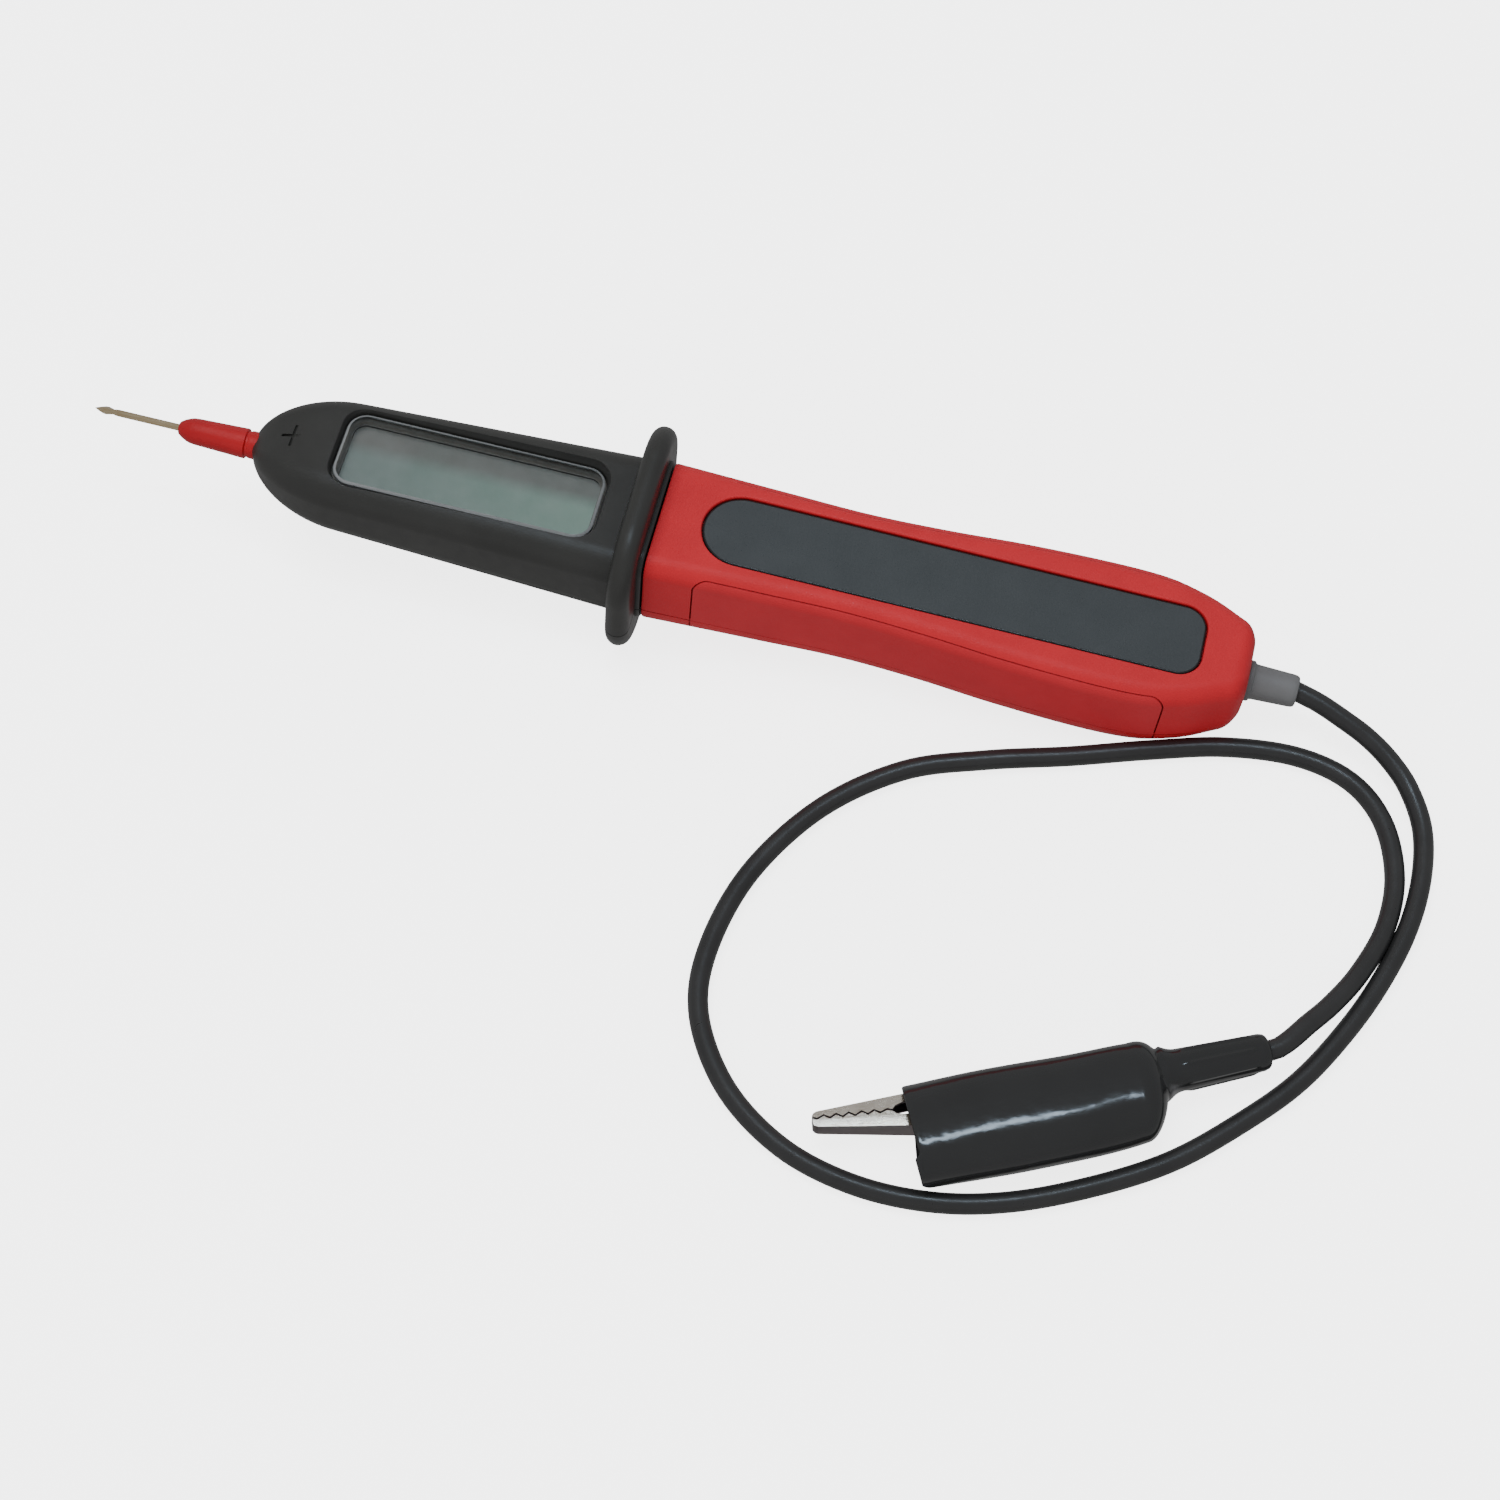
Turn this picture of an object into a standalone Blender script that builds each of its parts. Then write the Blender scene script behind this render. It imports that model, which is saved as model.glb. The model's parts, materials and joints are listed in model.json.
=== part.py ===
"""Circuit test light with a digital read-out.

A needle probe, a black head with a display window and a hand guard, a red two-part handle, an earth
lead and an alligator clip in a vinyl boot.

Lengths are written in millimetres and become metres through MM where a mesh or a place is made.
Three frames carry the pieces:
  tester_frame  +X from the needle to the lead, +Z out of the display, origin on the lead's axis at
                the middle of the guard; it is pitched because the tester lies on the guard's lower
                edge and on the flat under the handle
  boot_frame    +X from the clip's mouth to its tail, on the table
  jaw_frame     +X from the jaws' tip to their handles, origin on the pivot pin's axis
"""

from math import atan2, cos, pi, radians, sin, sqrt

import bmesh
import bpy
from mathutils import Vector

MM = 0.001
GAP = 0.3
WELD = 0.000002              # metres
REACH = 200.0                # further than any piece reaches
CORNER_STEPS = 5

# Tester: stations along its axis, X in the tester frame.
NEEDLE_TIP_X = -108.1
PROBE_DROP = 0.5
NOSE_TIP_X = -76.5
NOSE_START_X = -58.0
HEAD_END_X = -2.0
COLLAR_END_X = 2.7
TONGUE_END_X = 13.5
HANDLE_START_X = 3.0
HANDLE_END_X = 116.0
END_ROUND_X = 113.0
LEAD_EXIT_X = 125.7

# Sections: half width, height over the axis, depth under it.
HEAD_FRONT = (11.95, 7.5, 8.6)
HEAD_REAR = (14.2, 8.45, 9.6)
HEAD_RADII = (5.0, 6.0)
HANDLE_RADII = (3.5, 6.0)
HANDLE_WIDTHS = (
    (3, 12.95), (26, 12.35), (41, 12.05), (56, 12.7), (71, 13.85), (88, 14.45), (98, 14.1),
    (104, 12.75), (108, 11.35), (112, 9.4), (114.5, 8.1), (116, 6.4),
)
HANDLE_DEPTHS = (
    (3, 11.4), (26, 11.0), (41, 10.7), (56, 10.65), (72, 10.9), (86, 11.15), (94, 11.1),
    (102, 10.75), (109, 10.1), (116, 9.0),
)
HANDLE_TOP = 9.9
HANDLE_TOP_FALL = 0.0117
PARTING_Z = -4.8
WALL = 2.0
TOP_WALL = 3.0

# Hand guard: a rounded plate square to the axis.
GUARD_X = -0.35
GUARD_HALF_WIDTH = 20.0
GUARD_HALF_HEIGHT = 16.5
GUARD_CORNER = 12.0
GUARD_HALF_THICKNESS = 2.3

# The tester's pitch brings the handle's underside down to the table that the guard stands on.
PITCH = radians(3.5)
AXIS_HEIGHT = (
    (GUARD_HALF_HEIGHT - GUARD_HALF_THICKNESS) * cos(PITCH) + GUARD_HALF_THICKNESS + GUARD_X * sin(PITCH)
)
TESTER_X = -(NEEDLE_TIP_X + LEAD_EXIT_X) / 2 * cos(PITCH)

# Display: window, lens, glass, frame and board, stacked down from the top wall.
WINDOW_X = -33.9
WINDOW_OUTER = (52.0, 17.9, 4.5)
WINDOW_INNER = (50.8, 16.7, 4.0)
WINDOW_TOP_Z = 8.6
HEAD_CEILING_Z = 6.0
HEAD_TOP_WALL = 1.3
LENS_SIZE = (53.0, 18.2)
LENS_Z = (4.6, 5.7)
LENS_STEP_SIZE = (50.2, 16.1)
LENS_TOP_Z = 6.9
LCD_SIZE = (50.0, 16.0)
LCD_Z = (1.6, 4.0)
LCD_FRAME_SIZE = (54.0, 18.4)
LCD_FRAME_Z = (-0.5, 4.3)
ELASTOMER_Y = 6.4
ELASTOMER_HALF_SIZE = (22.5, 0.8)

# Circuit board, narrower in the handle, and the parts on it from the needle's end to the lead's.
BOARD_Z = (-2.4, -0.8)
BOARD_START_X = -61.5
BOARD_STEP_X = -7.6
BOARD_END_X = 62.0
BOARD_HALF_WIDTHS = (8.6, 6.4)
CHIP_X = (-39.0, -29.0)
CHIP_HALF_WIDTH = 4.0
CHIP_HEIGHT = 1.3
RESISTOR_X = (17.0, 26.0)
RESISTOR_RADIUS = 2.0
DIODE_X = (17.0, 22.0)
DIODE_Y = -4.6
DIODE_RADIUS = 1.2
WIRE_HOLE = 0.4
CAPACITOR_X = 43.0
CAPACITOR_RADIUS = 2.5
CAPACITOR_HEIGHT = 5.4
TRIMMER_X = (47.5, 52.7)
TRIMMER_HALF_WIDTH = 2.6
LUG_X = (54.5, 59.0)
LUG_HALF_WIDTH = 1.8
LUG_SHEET = 0.4

# Label plate in its recess, and the side grips in theirs.
LABEL_X = (11.3, 106.5)
LABEL_HALF_WIDTH = 7.45
LABEL_REAR_RADIUS = 4.5
LABEL_RECESS = 0.45
LABEL_THICKNESS = 1.0
GRIP_X = (12.6, 101.5)
GRIP_DROP = 1.4
GRIP_CORNER = 2.6
GRIP_THICKNESS = 0.9

# Screws: (x, y, depth of the outer face under the axis).
HEAD_SCREWS = ((-4.2, -10.2, 9.4), (-4.2, 10.2, 9.4))
HANDLE_SCREWS = ((34.0, 0.0, 10.0), (102.0, 0.0, 10.5))
SCREW_RADIUS = 1.0
SCREW_HEAD_RADIUS = 1.9
SCREW_HEAD_HEIGHT = 1.3
SCREW_SINK = 0.6
SCREW_LENGTH = 11.5
POST_RADIUS = 2.6
BOSS_RADIUS = 2.3

# Lead and strain relief.
LEAD_RADIUS = 1.9
RELIEF_BORE = LEAD_RADIUS + GAP
RELIEF_NECK = 2.65

# Clip.
BOOT_X, BOOT_Y, BOOT_HEADING = 66.4, -103.3, radians(26.5)
BOOT_WIDTHS = ((0.0, 9.3), (20.0, 9.45), (39.8, 8.9))
BOOT_MIDDLES = ((0.0, 0.3), (20.0, -0.4), (39.8, -0.35), (45.6, 2.2))
BOOT_HALF_HEIGHT = 6.3
BOOT_RADIUS = 5.8
BOOT_WALL = 0.8
BOOT_ROUND_X = 39.8
BOOT_ROUND_LENGTH = 5.8
TAIL_START_X = 46.0
TAIL_END_X = 64.6
TAIL_RADII = ((46.0, 4.0), (64.6, 3.45))
TAIL_OFFSET = 2.2
JAW_TIP_X, JAW_TIP_Y, JAW_HEADING = 48.481, -104.8904, radians(18.5)
JAW_LENGTH = 22.6
JAW_HALF_THICKNESS = 2.4
JAW_SHEET = 0.5
JAW_MEETING = 0.15           # half the gap between the closed jaws
TOOTH_PITCH = 1.6
TOOTH_HEIGHT = 0.8
TOOTH_COUNT = 10
PIN_RADIUS = 0.9
SPRING_RADIUS = 1.5
SPRING_WIRE = 0.25
SPRING_TURNS = 2
CONDUCTOR_RADIUS = 0.8

# The free lead's route from the strain relief to the clip's tail, laid on the table.
LEAD_ROUTE = (
    (121.2, -1.1, 8.2), (125.8, -2.8, 7.3), (131.0, -4.9, 6.0), (135.9, -8.0, 4.6),
    (140.3, -12.4, 3.2), (144.0, -19.8, 2.2), (145.2, -29.5, 1.95), (144.3, -40.0, 1.95),
    (141.5, -50.6, 1.95), (136.9, -62.1, 1.95), (129.9, -74.7, 1.95), (121.1, -85.1, 1.95),
    (110.3, -95.3, 1.95), (97.5, -103.3, 1.95), (84.1, -109.4, 1.95), (70.9, -112.5, 1.95),
    (57.1, -112.4, 1.95), (43.6, -108.5, 1.95), (31.6, -99.8, 1.95), (23.6, -87.0, 1.95),
    (22.2, -73.5, 1.95), (26.0, -57.0, 1.95), (35.4, -41.2, 1.95), (48.5, -29.9, 1.95),
    (62.9, -24.1, 1.95), (77.9, -19.6, 1.95), (92.4, -14.7, 1.95), (105.9, -10.8, 1.95),
    (119.1, -9.7, 1.95), (129.6, -12.6, 1.95), (136.7, -19.7, 1.95), (140.4, -30.4, 1.95),
    (140.2, -41.5, 2.3), (136.9, -52.1, 3.3), (132.9, -60.0, 4.6), (129.3, -65.4, 5.6),
    (126.9, -69.1, 6.2), (125.0, -71.4, 6.3),
)
LEAD_SPACING = 6.2

BLACK = (0.035, 0.035, 0.034)
RED = (0.56, 0.045, 0.045)
GREY = (0.17, 0.16, 0.155)
NICKEL = (0.72, 0.69, 0.63)
BRASS = (0.75, 0.58, 0.3)
STEEL = (0.55, 0.55, 0.55)


def clear_scene():
    for old in list(bpy.data.objects):
        bpy.data.objects.remove(old)


def new_collection(name):
    collection = bpy.data.collections.new(name)
    bpy.context.scene.collection.children.link(collection)
    return collection


clear_scene()
PARTS = new_collection("circuit_test_light")
CUTTERS = new_collection("cutters")


# Placing and finishing

def new_frame(name, location, rotation):
    """Empty that carries the pieces of one frame; location in millimetres."""
    frame = bpy.data.objects.new(name, None)
    frame.location = Vector(location) * MM
    frame.rotation_euler = rotation
    PARTS.objects.link(frame)
    return frame


def place(name, data, frame):
    piece = bpy.data.objects.new(name, data)
    piece.parent = frame
    PARTS.objects.link(piece)
    return piece


def as_guide(tool):
    """Take a cutter or joined solid out of the parts: the piece that uses it shows its effect."""
    if tool.name in PARTS.objects:
        PARTS.objects.unlink(tool)
        CUTTERS.objects.link(tool)
    tool.hide_render = True
    tool.display_type = "WIRE"


def combine(target, tool, operation):
    modifier = target.modifiers.new(tool.name, "BOOLEAN")
    modifier.operation = operation
    modifier.object = tool
    as_guide(tool)


def cut(target, *tools):
    for tool in tools:
        combine(target, tool, "DIFFERENCE")


def join(target, *tools):
    for tool in tools:
        combine(target, tool, "UNION")


def frozen(piece):
    """Replace a piece by the mesh that it evaluates to, with its loose caps welded."""
    bpy.context.view_layer.update()
    evaluated = piece.evaluated_get(bpy.context.evaluated_depsgraph_get())
    mesh = bpy.data.meshes.new_from_object(evaluated)
    work = bmesh.new()
    work.from_mesh(mesh)
    bmesh.ops.remove_doubles(work, verts=work.verts, dist=WELD)
    bmesh.ops.recalc_face_normals(work, faces=work.faces)
    work.to_mesh(mesh)
    work.free()
    solid = bpy.data.objects.new(piece.name + ".solid", mesh)
    solid.parent = piece.parent
    solid.location = piece.location
    solid.rotation_euler = piece.rotation_euler
    PARTS.objects.link(solid)
    name = piece.name
    bpy.data.objects.remove(piece)
    solid.name = name
    return solid


def finish(piece, colour, roughness, metallic=0.0, smooth_angle=35):
    """Give a piece its material, and smooth shading over its round faces."""
    material = bpy.data.materials.new(piece.name)
    material.use_nodes = True
    surface = material.node_tree.nodes["Principled BSDF"]
    surface.inputs["Base Color"].default_value = (*colour, 1.0)
    surface.inputs["Roughness"].default_value = roughness
    surface.inputs["Metallic"].default_value = metallic
    piece.data.materials.clear()
    piece.data.materials.append(material)
    if piece.type == "MESH":
        piece.data.shade_smooth()
        piece.data.set_sharp_from_angle(angle=radians(smooth_angle))


# Curves and sections

def smooth_value(x, knots):
    """Value at x of the smooth curve through knots, a rising list of (x, value)."""
    if x <= knots[0][0]:
        return knots[0][1]
    if x >= knots[-1][0]:
        return knots[-1][1]
    index = max(i for i in range(len(knots) - 1) if knots[i][0] <= x)
    (x0, y0), (x1, y1) = knots[index], knots[index + 1]
    before = knots[max(index - 1, 0)]
    after = knots[min(index + 2, len(knots) - 1)]
    slope0 = (y1 - before[1]) / (x1 - before[0])
    slope1 = (after[1] - y0) / (after[0] - x0)
    t = (x - x0) / (x1 - x0)
    span = x1 - x0
    return (
        (2 * t**3 - 3 * t**2 + 1) * y0
        + (t**3 - 2 * t**2 + t) * span * slope0
        + (3 * t**2 - 2 * t**3) * y1
        + (t**3 - t**2) * span * slope1
    )


def smooth_route(points, spacing):
    """Points a fixed spacing apart on the smooth curve through a route's points."""
    route = [Vector(p) for p in points]
    route = [2 * route[0] - route[1]] + route + [2 * route[-1] - route[-2]]
    dense = []
    for a, b, c, d in zip(route, route[1:], route[2:], route[3:]):
        for step in range(40):
            t = step / 40
            dense.append(
                0.5 * (2 * b + (c - a) * t + (2 * a - 5 * b + 4 * c - d) * t**2
                       + (3 * b - a - 3 * c + d) * t**3)
            )
    dense.append(Vector(points[-1]))
    total = sum((q - p).length for p, q in zip(dense, dense[1:]))
    count = max(2, round(total / spacing))
    placed = [dense[0]]
    walked = 0.0
    for p, q in zip(dense, dense[1:]):
        step = (q - p).length
        while walked + step >= len(placed) * total / count - 1e-9 and len(placed) < count:
            placed.append(p.lerp(q, (len(placed) * total / count - walked) / step))
        walked += step
    placed.append(dense[-1])
    return placed


def rounded_section(half_width, top, bottom, top_radius, bottom_radius, offset=0.0):
    """Ring of (y, z) round a rectangle with rounded corners; offset moves its middle along y."""
    corners = (
        (half_width - top_radius, top - top_radius, top_radius, 0),
        (top_radius - half_width, top - top_radius, top_radius, 90),
        (bottom_radius - half_width, bottom_radius - bottom, bottom_radius, 180),
        (half_width - bottom_radius, bottom_radius - bottom, bottom_radius, 270),
    )
    ring = []
    for y, z, radius, start in corners:
        for step in range(CORNER_STEPS + 1):
            angle = radians(start + 90 * step / CORNER_STEPS)
            ring.append((offset + y + radius * cos(angle), z + radius * sin(angle)))
    return ring


def rounded_outline(low_x, high_x, half_width, low_radius, high_radius):
    """Flat (x, y) outline of a rectangle whose two ends have their own corner radii."""
    corners = (
        (high_x - high_radius, half_width - high_radius, high_radius, 0),
        (low_x + low_radius, half_width - low_radius, low_radius, 90),
        (low_x + low_radius, low_radius - half_width, low_radius, 180),
        (high_x - high_radius, high_radius - half_width, high_radius, 270),
    )
    outline = []
    for x, y, radius, start in corners:
        for step in range(CORNER_STEPS + 2):
            angle = radians(start + 90 * step / (CORNER_STEPS + 1))
            outline.append((x + radius * cos(angle), y + radius * sin(angle)))
    return outline


def head_section(x, inset=0.0):
    """Half width, top, bottom and two corner radii of the head at x; the nose is an ellipsoid."""
    along = (x - NOSE_START_X) / (HEAD_END_X - NOSE_START_X)
    nose = 1.0
    if x < NOSE_START_X:
        nose = sqrt(1 - ((NOSE_START_X - x) / (NOSE_START_X - NOSE_TIP_X)) ** 2)
    sizes = [
        (front + (rear - front) * along) * nose - inset
        for front, rear in zip(HEAD_FRONT, HEAD_REAR)
    ]
    radii = [max(radius * nose - inset, 0.4) for radius in HEAD_RADII]
    return (*sizes, *radii)


def handle_top(x):
    return HANDLE_TOP - HANDLE_TOP_FALL * x


def handle_section(x, inset=0.0, top_inset=None):
    """The handle's section at x; its rear end is rounded over in height as well as in plan."""
    end_radius = HANDLE_END_X - END_ROUND_X
    drop = 0.0
    if x > END_ROUND_X:
        drop = end_radius - sqrt(max(end_radius**2 - (x - END_ROUND_X) ** 2, 0.0))
    if top_inset is None:
        top_inset = inset
    half_width = smooth_value(x, HANDLE_WIDTHS) - inset
    top = handle_top(x) - drop - top_inset
    bottom = smooth_value(x, HANDLE_DEPTHS) - drop - inset
    radii = [max(radius - inset, 1.0) for radius in HANDLE_RADII]
    return (half_width, top, bottom, *radii)


# Solids

def loft(name, sections, frame):
    """Closed solid through sections, each an x and a ring of (y, z) with the same point count."""
    mesh = bmesh.new()
    loops = [[mesh.verts.new(Vector((x, y, z)) * MM) for y, z in ring] for x, ring in sections]
    for before, after in zip(loops, loops[1:]):
        for i in range(len(before)):
            j = (i + 1) % len(before)
            mesh.faces.new((before[i], before[j], after[j], after[i]))
    mesh.faces.new(loops[0])
    mesh.faces.new(loops[-1])
    bmesh.ops.recalc_face_normals(mesh, faces=mesh.faces)
    data = bpy.data.meshes.new(name)
    mesh.to_mesh(data)
    mesh.free()
    return place(name, data, frame)


def box(name, low, high, frame):
    """Box between two corners."""
    mesh = bmesh.new()
    bmesh.ops.create_cube(mesh, size=1.0)
    size = Vector(high) - Vector(low)
    middle = (Vector(high) + Vector(low)) / 2
    bmesh.ops.scale(mesh, vec=size * MM, verts=mesh.verts)
    bmesh.ops.translate(mesh, vec=middle * MM, verts=mesh.verts)
    data = bpy.data.meshes.new(name)
    mesh.to_mesh(data)
    mesh.free()
    return place(name, data, frame)


def upright_cylinder(name, centre, low_z, high_z, radius, frame, sides=20):
    """Cylinder along the frame's Z."""
    mesh = bmesh.new()
    bmesh.ops.create_cone(
        mesh, cap_ends=True, segments=sides, radius1=radius * MM, radius2=radius * MM,
        depth=(high_z - low_z) * MM,
    )
    data = bpy.data.meshes.new(name)
    mesh.to_mesh(data)
    mesh.free()
    piece = place(name, data, frame)
    piece.location = Vector((*centre, (low_z + high_z) / 2)) * MM
    return piece


def turned(name, profile, frame, bore=None, sides=24):
    """Solid turned about the frame's X: profile is (x, radius) from low x to high x.

    With a bore, the profile is closed along a hole of that radius.
    """
    outline = list(profile)
    if bore is not None:
        outline += [(profile[-1][0], bore), (profile[0][0], bore)]
    outline.reverse()
    data = bpy.data.meshes.new(name)
    edges = [(i, i + 1) for i in range(len(outline) - 1)]
    if bore is not None:
        edges.append((len(outline) - 1, 0))
    data.from_pydata([(radius * MM, 0.0, x * MM) for x, radius in outline], edges, [])
    piece = place(name, data, frame)
    piece.rotation_euler = (0.0, pi / 2, 0.0)
    screw = piece.modifiers.new("turn", "SCREW")
    screw.steps = sides
    screw.render_steps = sides
    screw.use_merge_vertices = True
    screw.merge_threshold = 0.00001
    return frozen(piece)


def plate(name, outline, low_z, high_z, frame):
    """Flat outline of (x, y) points between two heights."""
    curve = bpy.data.curves.new(name, "CURVE")
    curve.dimensions = "2D"
    curve.fill_mode = "BOTH"
    curve.extrude = (high_z - low_z) / 2 * MM
    spline = curve.splines.new("POLY")
    spline.points.add(len(outline) - 1)
    for point, (x, y) in zip(spline.points, outline):
        point.co = (x * MM, y * MM, 0.0, 1.0)
    spline.use_cyclic_u = True
    piece = place(name, curve, frame)
    piece.location.z = (low_z + high_z) / 2 * MM
    return frozen(piece)


def tube(name, points, radius, frame):
    """Round wire or lead through points, with closed ends."""
    curve = bpy.data.curves.new(name, "CURVE")
    curve.dimensions = "3D"
    curve.bevel_depth = radius * MM
    curve.bevel_resolution = 2
    curve.use_fill_caps = True
    spline = curve.splines.new("POLY")
    spline.points.add(len(points) - 1)
    for point, place_mm in zip(spline.points, points):
        point.co = (*(Vector(place_mm) * MM), 1.0)
    return place(name, curve, frame)


# Probe

def make_probe(frame):
    needle = turned(
        "probe_needle",
        ((NEEDLE_TIP_X, 0.0), (-105.7, 0.78), (-104.4, 0.6), (-103.4, 0.66), (-62.9, 0.66), (-62.9, 0.0)),
        frame, sides=12,
    )
    sleeve = turned(
        "probe_sleeve",
        ((-91.3, 1.3), (-88.8, 2.4), (-86.5, 2.6), (-81.0, 2.8), (-77.9, 2.92), (-77.6, 2.5),
         (-77.2, 2.5), (-76.9, 2.66), (-67.5, 2.66)),
        frame, bore=0.98,
    )
    socket = turned("probe_socket", ((-66.4, 1.9), (-62.2, 1.9)), frame, bore=0.98)
    for piece in (needle, sleeve, socket):
        piece.location.z = -PROBE_DROP * MM
    finish(needle, BRASS, 0.25, 1.0)
    finish(sleeve, RED, 0.45)
    finish(socket, BRASS, 0.3, 1.0)
    strip = box("contact_strip", (-66.2, -1.5, -3.1), (-55.0, 1.5, -2.7), frame)
    finish(strip, BRASS, 0.3, 1.0)


# Head

def head_body(frame):
    """Outside of the head: nose, guard, collar and the tongue that enters the handle."""
    nose_stations = (-76.0, -75.3, -74.2, -72.5, -70.2, -67.2, -63.6, -60.0)
    stations = nose_stations + (-57.0, -44.0, -30.0, -16.0, 1.5)
    body = loft("head_body", [(x, rounded_section(*head_section(x))) for x in stations], frame)

    guard_sections = []
    for step in range(9):
        angle = pi * (step / 8 - 0.5)
        inset = GUARD_HALF_THICKNESS * (1 - cos(angle))
        ring = rounded_section(
            GUARD_HALF_WIDTH - inset, GUARD_HALF_HEIGHT - inset, GUARD_HALF_HEIGHT - inset,
            GUARD_CORNER - inset, GUARD_CORNER - inset,
        )
        guard_sections.append((GUARD_X + GUARD_HALF_THICKNESS * sin(angle), ring))
    guard = loft("guard", guard_sections, frame)

    collar_ring = rounded_section(*handle_section(HANDLE_START_X, inset=-0.2))
    collar = loft("collar", [(0.0, collar_ring), (COLLAR_END_X, collar_ring)], frame)
    tongue_ring = rounded_section(*handle_section(TONGUE_END_X, WALL + GAP, TOP_WALL + GAP))
    tongue = loft("tongue", [(1.5, tongue_ring), (TONGUE_END_X, tongue_ring)], frame)
    join(body, guard, collar, tongue)
    return body


def head_cavity_ring(x):
    """Section of the display bay, whose ceiling is level where the lens lies against it."""
    half_width, _, bottom, _, bottom_radius = head_section(x, WALL)
    ceiling = min(head_section(x)[1] - HEAD_TOP_WALL, HEAD_CEILING_Z)
    return rounded_section(half_width, ceiling, bottom, 1.2, bottom_radius)


def head_cutters(frame):
    """Hollows of the head: the display bay, the way through the guard, the window and the nose bore."""
    stations = (-66.5, -63.5, -60.0, -57.0, -44.0, -30.0, -16.0, -2.2)
    bay = loft("display_bay", [(x, head_cavity_ring(x)) for x in stations], frame)
    way_ring = rounded_section(*handle_section(TONGUE_END_X, WALL + 1.8, TOP_WALL + 1.8))
    way = loft("board_way", [(-3.5, way_ring), (15.0, way_ring)], frame)

    window_sections = []
    window_steps = (
        (HEAD_CEILING_Z - 0.5, WINDOW_INNER), (HEAD_CEILING_Z + 0.1, WINDOW_INNER),
        (WINDOW_TOP_Z, WINDOW_OUTER),
    )
    for z, (length, width, radius) in window_steps:
        outline = rounded_outline(-length / 2, length / 2, width / 2, radius, radius)
        window_sections.append((z, [(y, x) for x, y in outline]))
    window = loft("window_opening", window_sections, frame)
    window.rotation_euler = (0.0, -pi / 2, pi)
    window.location.x = WINDOW_X * MM

    nose_bore = turned("nose_bore", ((-80.0, 0.0), (-80.0, 3.0), (-66.0, 3.0), (-66.0, 0.0)), frame)
    nose_bore.location.z = -PROBE_DROP * MM
    return bay, way, window, nose_bore


def screw_post_pair(screws, low_part, high_part, boss_top, frame):
    """Boss on the upper piece and post on the lower one at each screw, both drilled."""
    for number, (x, y, depth) in enumerate(screws, 1):
        label = f"{high_part.name}_{number}"
        low_z = PARTING_Z - GAP / 2
        boss = upright_cylinder("boss_" + label, (x, y), low_z + GAP, boss_top, BOSS_RADIUS, frame)
        post = upright_cylinder("post_" + label, (x, y), -depth + 0.6, low_z, POST_RADIUS, frame)
        join(high_part, boss)
        join(low_part, post)
        pilot = upright_cylinder(
            "pilot_" + label, (x, y), low_z - 1.0, SCREW_LENGTH - depth + 1.0, SCREW_RADIUS + GAP, frame
        )
        cut(high_part, pilot)
        clearance = upright_cylinder(
            "clearance_" + label, (x, y), -depth, low_z + 1.0, SCREW_RADIUS + GAP, frame
        )
        seat_z = -depth + SCREW_SINK + SCREW_HEAD_HEIGHT + GAP
        seat = upright_cylinder(
            "seat_" + label, (x, y), -depth - 3.0, seat_z, SCREW_HEAD_RADIUS + GAP, frame
        )
        cut(low_part, clearance, seat)


def make_screws(prefix, screws, frame):
    for number, (x, y, depth) in enumerate(screws, 1):
        head_z = -depth + SCREW_SINK
        screw = upright_cylinder(
            f"{prefix}_{number}", (x, y), head_z, head_z + SCREW_HEAD_HEIGHT, SCREW_HEAD_RADIUS, frame
        )
        shank = upright_cylinder(
            f"{prefix}_shank_{number}", (x, y), head_z + 0.5, head_z + SCREW_LENGTH, SCREW_RADIUS, frame, 12
        )
        join(screw, shank)
        for turn in (0.0, pi / 2):
            slot = box(f"{prefix}_slot_{number}_{turn:.0f}", (-1.2, -0.25, -2.0), (1.2, 0.25, -0.1), frame)
            slot.location = screw.location
            slot.rotation_euler.z = turn
            cut(screw, slot)
        finish(screw, STEEL, 0.35, 1.0)


def split_halves(whole, low_name, high_name, frame):
    """Two pieces that share one mesh, cut a gap apart at the parting plane."""
    halves = []
    removed = (
        (low_name, PARTING_Z - GAP / 2, REACH),
        (high_name, -REACH, PARTING_Z + GAP / 2),
    )
    for name, low_z, high_z in removed:
        half = place(name, whole.data, frame)
        keep_out = box("beyond_" + name, (-REACH, -REACH, low_z), (REACH, REACH, high_z), frame)
        cut(half, keep_out)
        halves.append(half)
    bpy.data.objects.remove(whole)
    return halves


def make_head(frame):
    whole = head_body(frame)
    cut(whole, *head_cutters(frame))
    whole = frozen(whole)
    low, high = split_halves(whole, "head_lower_housing", "head_upper_housing", frame)
    screw_post_pair(HEAD_SCREWS, low, high, HEAD_CEILING_Z + 0.5, frame)
    low, high = frozen(low), frozen(high)
    finish(low, BLACK, 0.5)
    finish(high, BLACK, 0.5)
    make_screws("head_screw", HEAD_SCREWS, frame)


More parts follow.
